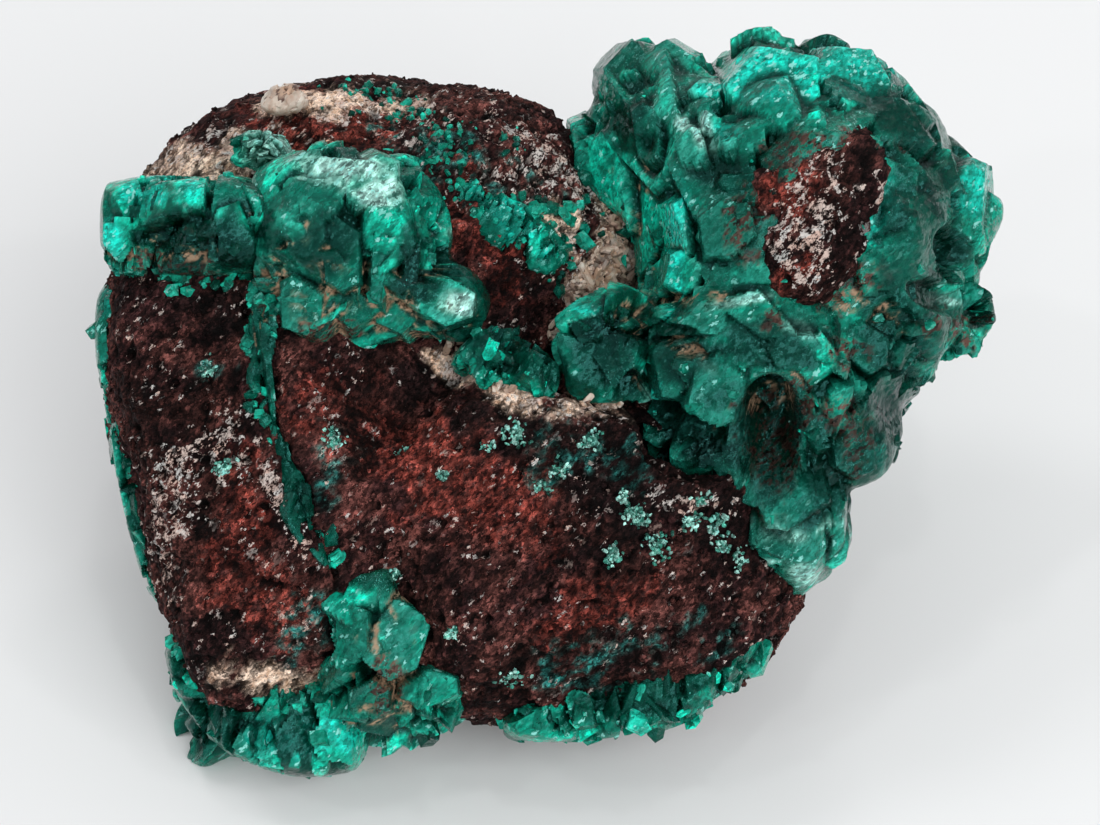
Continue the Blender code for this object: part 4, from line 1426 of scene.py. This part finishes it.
# Single crystals: name, the surface they stand on, their number, radii in millimetres and seed
SINGLES = (
    ("right_mass_singles", "right_crystals", 700, (0.15, 0.6), 301),
    ("rim_singles", "rim_cluster", 90, (0.15, 0.7), 302),
    ("rim_band_singles", "rim_band", 90, (0.15, 0.6), 303),
    ("foot_singles", "foot_crystals", 70, (0.15, 0.7), 304),
    ("left_skin_singles", "left_skin", 160, (0.2, 0.7), 305),
    ("vein_singles", "vein_crystals", 40, (0.12, 0.35), 306),
    ("base_left_singles", "base_left_crystals", 160, (0.2, 0.8), 307),
    ("base_right_singles", "base_right_crystals", 200, (0.2, 0.8), 308),
    ("valley_singles", "valley_crystals", 100, (0.15, 0.6), 309),
    ("streak_singles", "dome_streak", 220, (0.12, 0.5), 310),
    ("knob_singles", "right_knob", 40, (0.15, 0.6), 311),
)
# How far they lean at random, the share of broken tips and how deep they stand, in radii
SINGLE_TILT = 0.8
SINGLE_BROKEN = 0.7
SINGLE_SINK = 1.5


def grow_crystals(name, source, count, sizes, seed):
    """Crystals that stand out of a crystal surface."""
    rng = np.random.default_rng(seed)
    grown = surface(source)
    pick = scatter(rng, grown, count, 1.0)
    outward = grown["normals"][pick]
    radii = sizes[0] + (sizes[1] - sizes[0]) * rng.random(count) ** 2.5
    lengths = radii * rng.uniform(1.4, 2.4, count)
    places = grown["places"][pick] - outward * (radii * SINGLE_SINK)[:, None]
    axes = outward + rng.normal(size=(count, 3)) * SINGLE_TILT
    labels = ("frosty", "bright", "clear", "dust", "milky")
    masks = {label: grown["masks"][label][pick] for label in labels}
    for label in ("frosty", "bright"):
        masks[label] = np.clip(masks[label] + rng.uniform(-0.3, 0.4, count), 0, 1)
    masks["dust"] = masks["dust"] * 0.4
    masks["tone"] = rng.random(count)
    high = above_floor(places) > radii * 2.4
    masks = {label: values[high] for label, values in masks.items()}
    kept = (places[high], axes[high], radii[high], lengths[high])
    mesh = crystal_mesh(name, rng, *kept, masks, SINGLE_BROKEN)
    add_piece(name, mesh, dioptase_look(), sharp=0.0)


class DIOPTASE_OT_crystals(bpy.types.Operator):
    """Adds the single crystals that stand out of the masses and seams"""

    bl_idname = "dioptase.crystals"
    bl_label = "Single crystals"

    def execute(self, context):
        for single in SINGLES:
            grow_crystals(*single)
        return {"FINISHED"}


class DIOPTASE_OT_grains(bpy.types.Operator):
    """Adds loose grains on the rock"""

    bl_idname = "dioptase.grains"
    bl_label = "Grains"

    def execute(self, context):
        rng = np.random.default_rng(GRAIN_SEED)
        parts = []
        for source, share in zip(ROCKS, (0.3, 0.4, 0.3)):
            grown = surface(source)
            count = int(context.scene.dioptase.loose_grains * share)
            pick = scatter(rng, grown, count, 0.1 + grown["masks"]["facing"])
            pick = pick[above_floor(grown["places"][pick]) > 0.6]
            masks = [grown["masks"][label][pick] for label in ROCK_COLOURS]
            parts.append([grown["places"][pick], grown["normals"][pick]] + masks)
        places, normals, *masks = (np.concatenate(part) for part in zip(*parts))
        count = len(places)
        radii = rng.uniform(0.06, 0.22, count)
        axes = normals + rng.normal(size=(count, 3))
        masks = dict(zip(ROCK_COLOURS, masks))
        # A random height for each grain, which the rock's material turns into painted shade and light
        masks["height"] = rng.uniform(0.4, 1.0, count)
        mesh = crystal_mesh("grains", rng, places, axes, radii, radii * 1.5, masks, 0.3)
        add_piece("grains", mesh, rock_look(), sharp=0.0)
        return {"FINISHED"}


def visible_rock():
    """The places, outward directions and areas of the rock that faces the photograph's camera."""
    places, normals, area = (
        np.concatenate([surface(name)[kind] for name in ROCKS])
        for kind in ("places", "normals", "area")
    )
    facing = (normals[:, 2] > 0.1) & (places[:, 2] > -4.0)
    return places[facing], normals[facing], area[facing]


# Strewn over the rock: name, seed, regions, number, radii in millimetres and lengths in radii
QUARTZ_SPLINTERS = ("valley_quartz", 501, VALLEY_QUARTZ, 420, (0.08, 0.30), (1.5, 4.5))
GREEN_CRYSTALS = (
    ("valley_singles_low", 502, VALLEY_CRYSTALS, 36, (0.15, 0.5), (1.4, 2.4)),
    ("rim_fringe", 503, RIM_FRINGE, 260, (0.12, 0.45), (1.4, 2.0)),
    ("dome_specks", 504, DOME_SPECKS, 220, (0.06, 0.26), (1.4, 2.6)),
)
# The least and the most of each mask on a green crystal
GREEN_MASKS = {
    "frosty": (0, 0.5), "bright": (0, 0.3), "clear": (0, 0.8), "dust": (0, 0.3), "tone": (0, 1),
}
ROSETTE_CRYSTALS = 60
# How far axes lean at random from the rock's outward direction
SPLINTER_TILT = 1.1
GREEN_TILT = 0.9
ROSETTE_TILT = 0.7


def strew(name, seed, regions, count, sizes, tall, material, slot, masks, tilt):
    """Crystals strewn over the rock in regions of the photograph."""
    rng = np.random.default_rng(seed)
    places, normals, area = visible_rock()
    rough = layered_noise(places, 2.0, seed, 3, 0.7) * 0.5
    chance = area * region_mask(places, regions, rough)
    pick = rng.choice(len(places), count, p=chance / chance.sum())
    radii = rng.uniform(*sizes, count)
    axes = normals[pick] + rng.normal(size=(count, 3)) * tilt
    values = {label: rng.uniform(*ends, count) for label, ends in masks.items()}
    lengths = radii * rng.uniform(*tall, count)
    mesh = crystal_mesh(name, rng, places[pick], axes, radii, lengths, values, 0.5)
    add_piece(name, mesh, material, sharp=0.0)


class DIOPTASE_OT_strewn(bpy.types.Operator):
    """Adds the small crystals and quartz splinters that lie on the rock"""

    bl_idname = "dioptase.strewn"
    bl_label = "Strewn crystals"

    def execute(self, context):
        strew(*QUARTZ_SPLINTERS, quartz_look(), "quartz", {}, SPLINTER_TILT)
        for crystals in GREEN_CRYSTALS:
            strew(*crystals, dioptase_look(), "dioptase", GREEN_MASKS, GREEN_TILT)
        self.add_rosettes()
        return {"FINISHED"}

    def add_rosettes(self):
        """Druse: rosettes of tiny frosty crystals at places seen in the photograph."""
        rng = np.random.default_rng(ROSETTE_SEED)
        places, normals, _ = visible_rock()
        pixels = in_photo(places)
        found = [np.argmin(((pixels - spot) ** 2).sum(axis=1)) for spot in ROSETTES]
        middles = np.repeat(places[found], ROSETTE_CRYSTALS, axis=0)
        outward = np.repeat(normals[found], ROSETTE_CRYSTALS, axis=0)
        wide = np.repeat(rng.uniform(0.18, 0.42, len(found)), ROSETTE_CRYSTALS)[:, None]
        spread = rng.normal(size=middles.shape) * wide
        spread -= outward * (spread * outward).sum(axis=1)[:, None]
        total = len(middles)
        radii = rng.uniform(0.05, 0.15, total)
        axes = outward + rng.normal(size=middles.shape) * ROSETTE_TILT
        masks = {
            "frosty": rng.uniform(0.4, 1.0, total), "milky": rng.uniform(0.3, 2.0, total).clip(0, 1),
            "clear": np.zeros(total), "dust": np.zeros(total), "tone": rng.random(total),
        }
        mesh = crystal_mesh("rosettes", rng, middles + spread, axes, radii, radii * 1.8, masks, 0.4)
        add_piece("rosettes", mesh, dioptase_look(), sharp=0.0)


# The studio, in metres and degrees. Soft lights: name, direction, size and radiance
FLOOR_HALF = 2.0
FLOOR_TINT = (1.0, 1.005, 1.01)
LIGHT_DISTANCE = 1.2
SOFT_LIGHTS = (
    ("key", (-0.50, 0.25, 0.80), 0.36, 5.0),
    ("back", (0.35, 0.75, 0.60), 0.20, 10.0),
    ("fill", (0.45, -0.65, 0.60), 1.00, 3.4),
)
# The small lights that make crystal faces flash: a ring round the photograph's line of sight
GLINT_TURNS = (20, 80, 140, 175, 230, 320)
GLINT_LEAN = 42.0
GLINT_SIZE = 0.07
GLINT_RADIANCE = 45.0
SKY_COLOUR = (0.98, 0.99, 1.0, 1.0)
SKY_STRENGTH = 0.62


def add_light(name, direction, size, radiance):
    """A round soft light in a direction from the stone, facing it."""
    light = bpy.data.lights.new(name, "AREA")
    light.shape = "DISK"
    light.size = size
    light.energy = radiance * math.pi * math.pi * size * size / 4
    lamp = bpy.data.objects.new(name, light)
    toward = Vector(direction).normalized()
    lamp.location = Vector(HEART * MM) + toward * LIGHT_DISTANCE
    lamp.rotation_euler = toward.to_track_quat("Z", "Y").to_euler()
    bpy.context.scene.collection.objects.link(lamp)


def add_floor(shade):
    """The plain pale floor."""
    mesh = bpy.data.meshes.new("floor")
    half = FLOOR_HALF
    corners = [(-half, -half, 0), (half, -half, 0), (half, half, 0), (-half, half, 0)]
    mesh.from_pydata(corners, [], [(0, 1, 2, 3)])
    floor = bpy.data.objects.new("floor", mesh)
    bpy.context.scene.collection.objects.link(floor)
    material, tree = new_material("floor")
    colour = (*(shade * part for part in FLOOR_TINT), 1.0)
    inputs = {"Base Color": colour, "Roughness": 0.9, "Specular IOR Level": 0.1}
    finish_material(tree, put(tree, "BsdfPrincipled", inputs))
    mesh.materials.append(material)


def add_camera():
    """The camera, where the photograph's was."""
    camera = bpy.data.cameras.new("camera")
    camera.lens = LENS
    camera.sensor_width = SENSOR_WIDTH
    camera.clip_start = 0.001
    eye = bpy.data.objects.new("camera", camera)
    turn = Matrix([ACROSS, UP, OUT]).transposed().to_4x4()
    eye.matrix_world = Matrix.Translation(Vector((HEART + OUT * PHOTO_DISTANCE) * MM)) @ turn
    bpy.context.scene.collection.objects.link(eye)
    bpy.context.scene.camera = eye


class DIOPTASE_OT_stage(bpy.types.Operator):
    """Adds the floor, the light and the camera at the photograph's angle"""

    bl_idname = "dioptase.stage"
    bl_label = "Floor, light and camera"

    def execute(self, context):
        look = context.scene.dioptase
        add_floor(look.floor_shade)
        for name, direction, size, radiance in SOFT_LIGHTS:
            add_light(name, direction, size, radiance * look.light_strength)
        lean = math.radians(GLINT_LEAN)
        for turn in np.radians(GLINT_TURNS):
            around = ACROSS * math.cos(turn) + UP * math.sin(turn)
            direction = OUT * math.cos(lean) + around * math.sin(lean)
            add_light("glint", direction, GLINT_SIZE, GLINT_RADIANCE * look.light_strength)
        world = bpy.data.worlds.new("studio")
        context.scene.world = world
        world.use_nodes = True
        background = world.node_tree.nodes["Background"]
        background.inputs["Color"].default_value = SKY_COLOUR
        background.inputs["Strength"].default_value = SKY_STRENGTH * look.light_strength
        add_camera()
        context.scene.view_settings.view_transform = "Standard"
        return {"FINISHED"}


OPERATORS = (
    DIOPTASE_OT_rock,
    DIOPTASE_OT_masses,
    DIOPTASE_OT_seams,
    DIOPTASE_OT_crystals,
    DIOPTASE_OT_grains,
    DIOPTASE_OT_strewn,
    DIOPTASE_OT_stage,
)


class DIOPTASE_PT_panel(bpy.types.Panel):
    """Lists the operators and the look"""

    bl_label = "Dioptase"
    bl_idname = "DIOPTASE_PT_panel"
    bl_space_type = "VIEW_3D"
    bl_region_type = "UI"
    bl_category = "Dioptase"

    def draw(self, context):
        for name in DioptaseLook.__annotations__:
            self.layout.prop(context.scene.dioptase, name)
        for operator in OPERATORS:
            self.layout.operator(operator.bl_idname)


def register():
    """Adds the look, the operators and the panel to Blender."""
    for kind in (DioptaseLook, *OPERATORS, DIOPTASE_PT_panel):
        bpy.utils.register_class(kind)
    bpy.types.Scene.dioptase = bpy.props.PointerProperty(type=DioptaseLook)


def unregister():
    """Takes them out again."""
    del bpy.types.Scene.dioptase
    for kind in reversed((DioptaseLook, *OPERATORS, DIOPTASE_PT_panel)):
        bpy.utils.unregister_class(kind)


def main():
    """Builds everything."""
    register()
    bpy.ops.dioptase.rock()
    bpy.ops.dioptase.masses()
    bpy.ops.dioptase.seams()
    bpy.ops.dioptase.crystals()
    bpy.ops.dioptase.grains()
    bpy.ops.dioptase.strewn()
    bpy.ops.dioptase.stage()


if __name__ == "__main__":
    main()
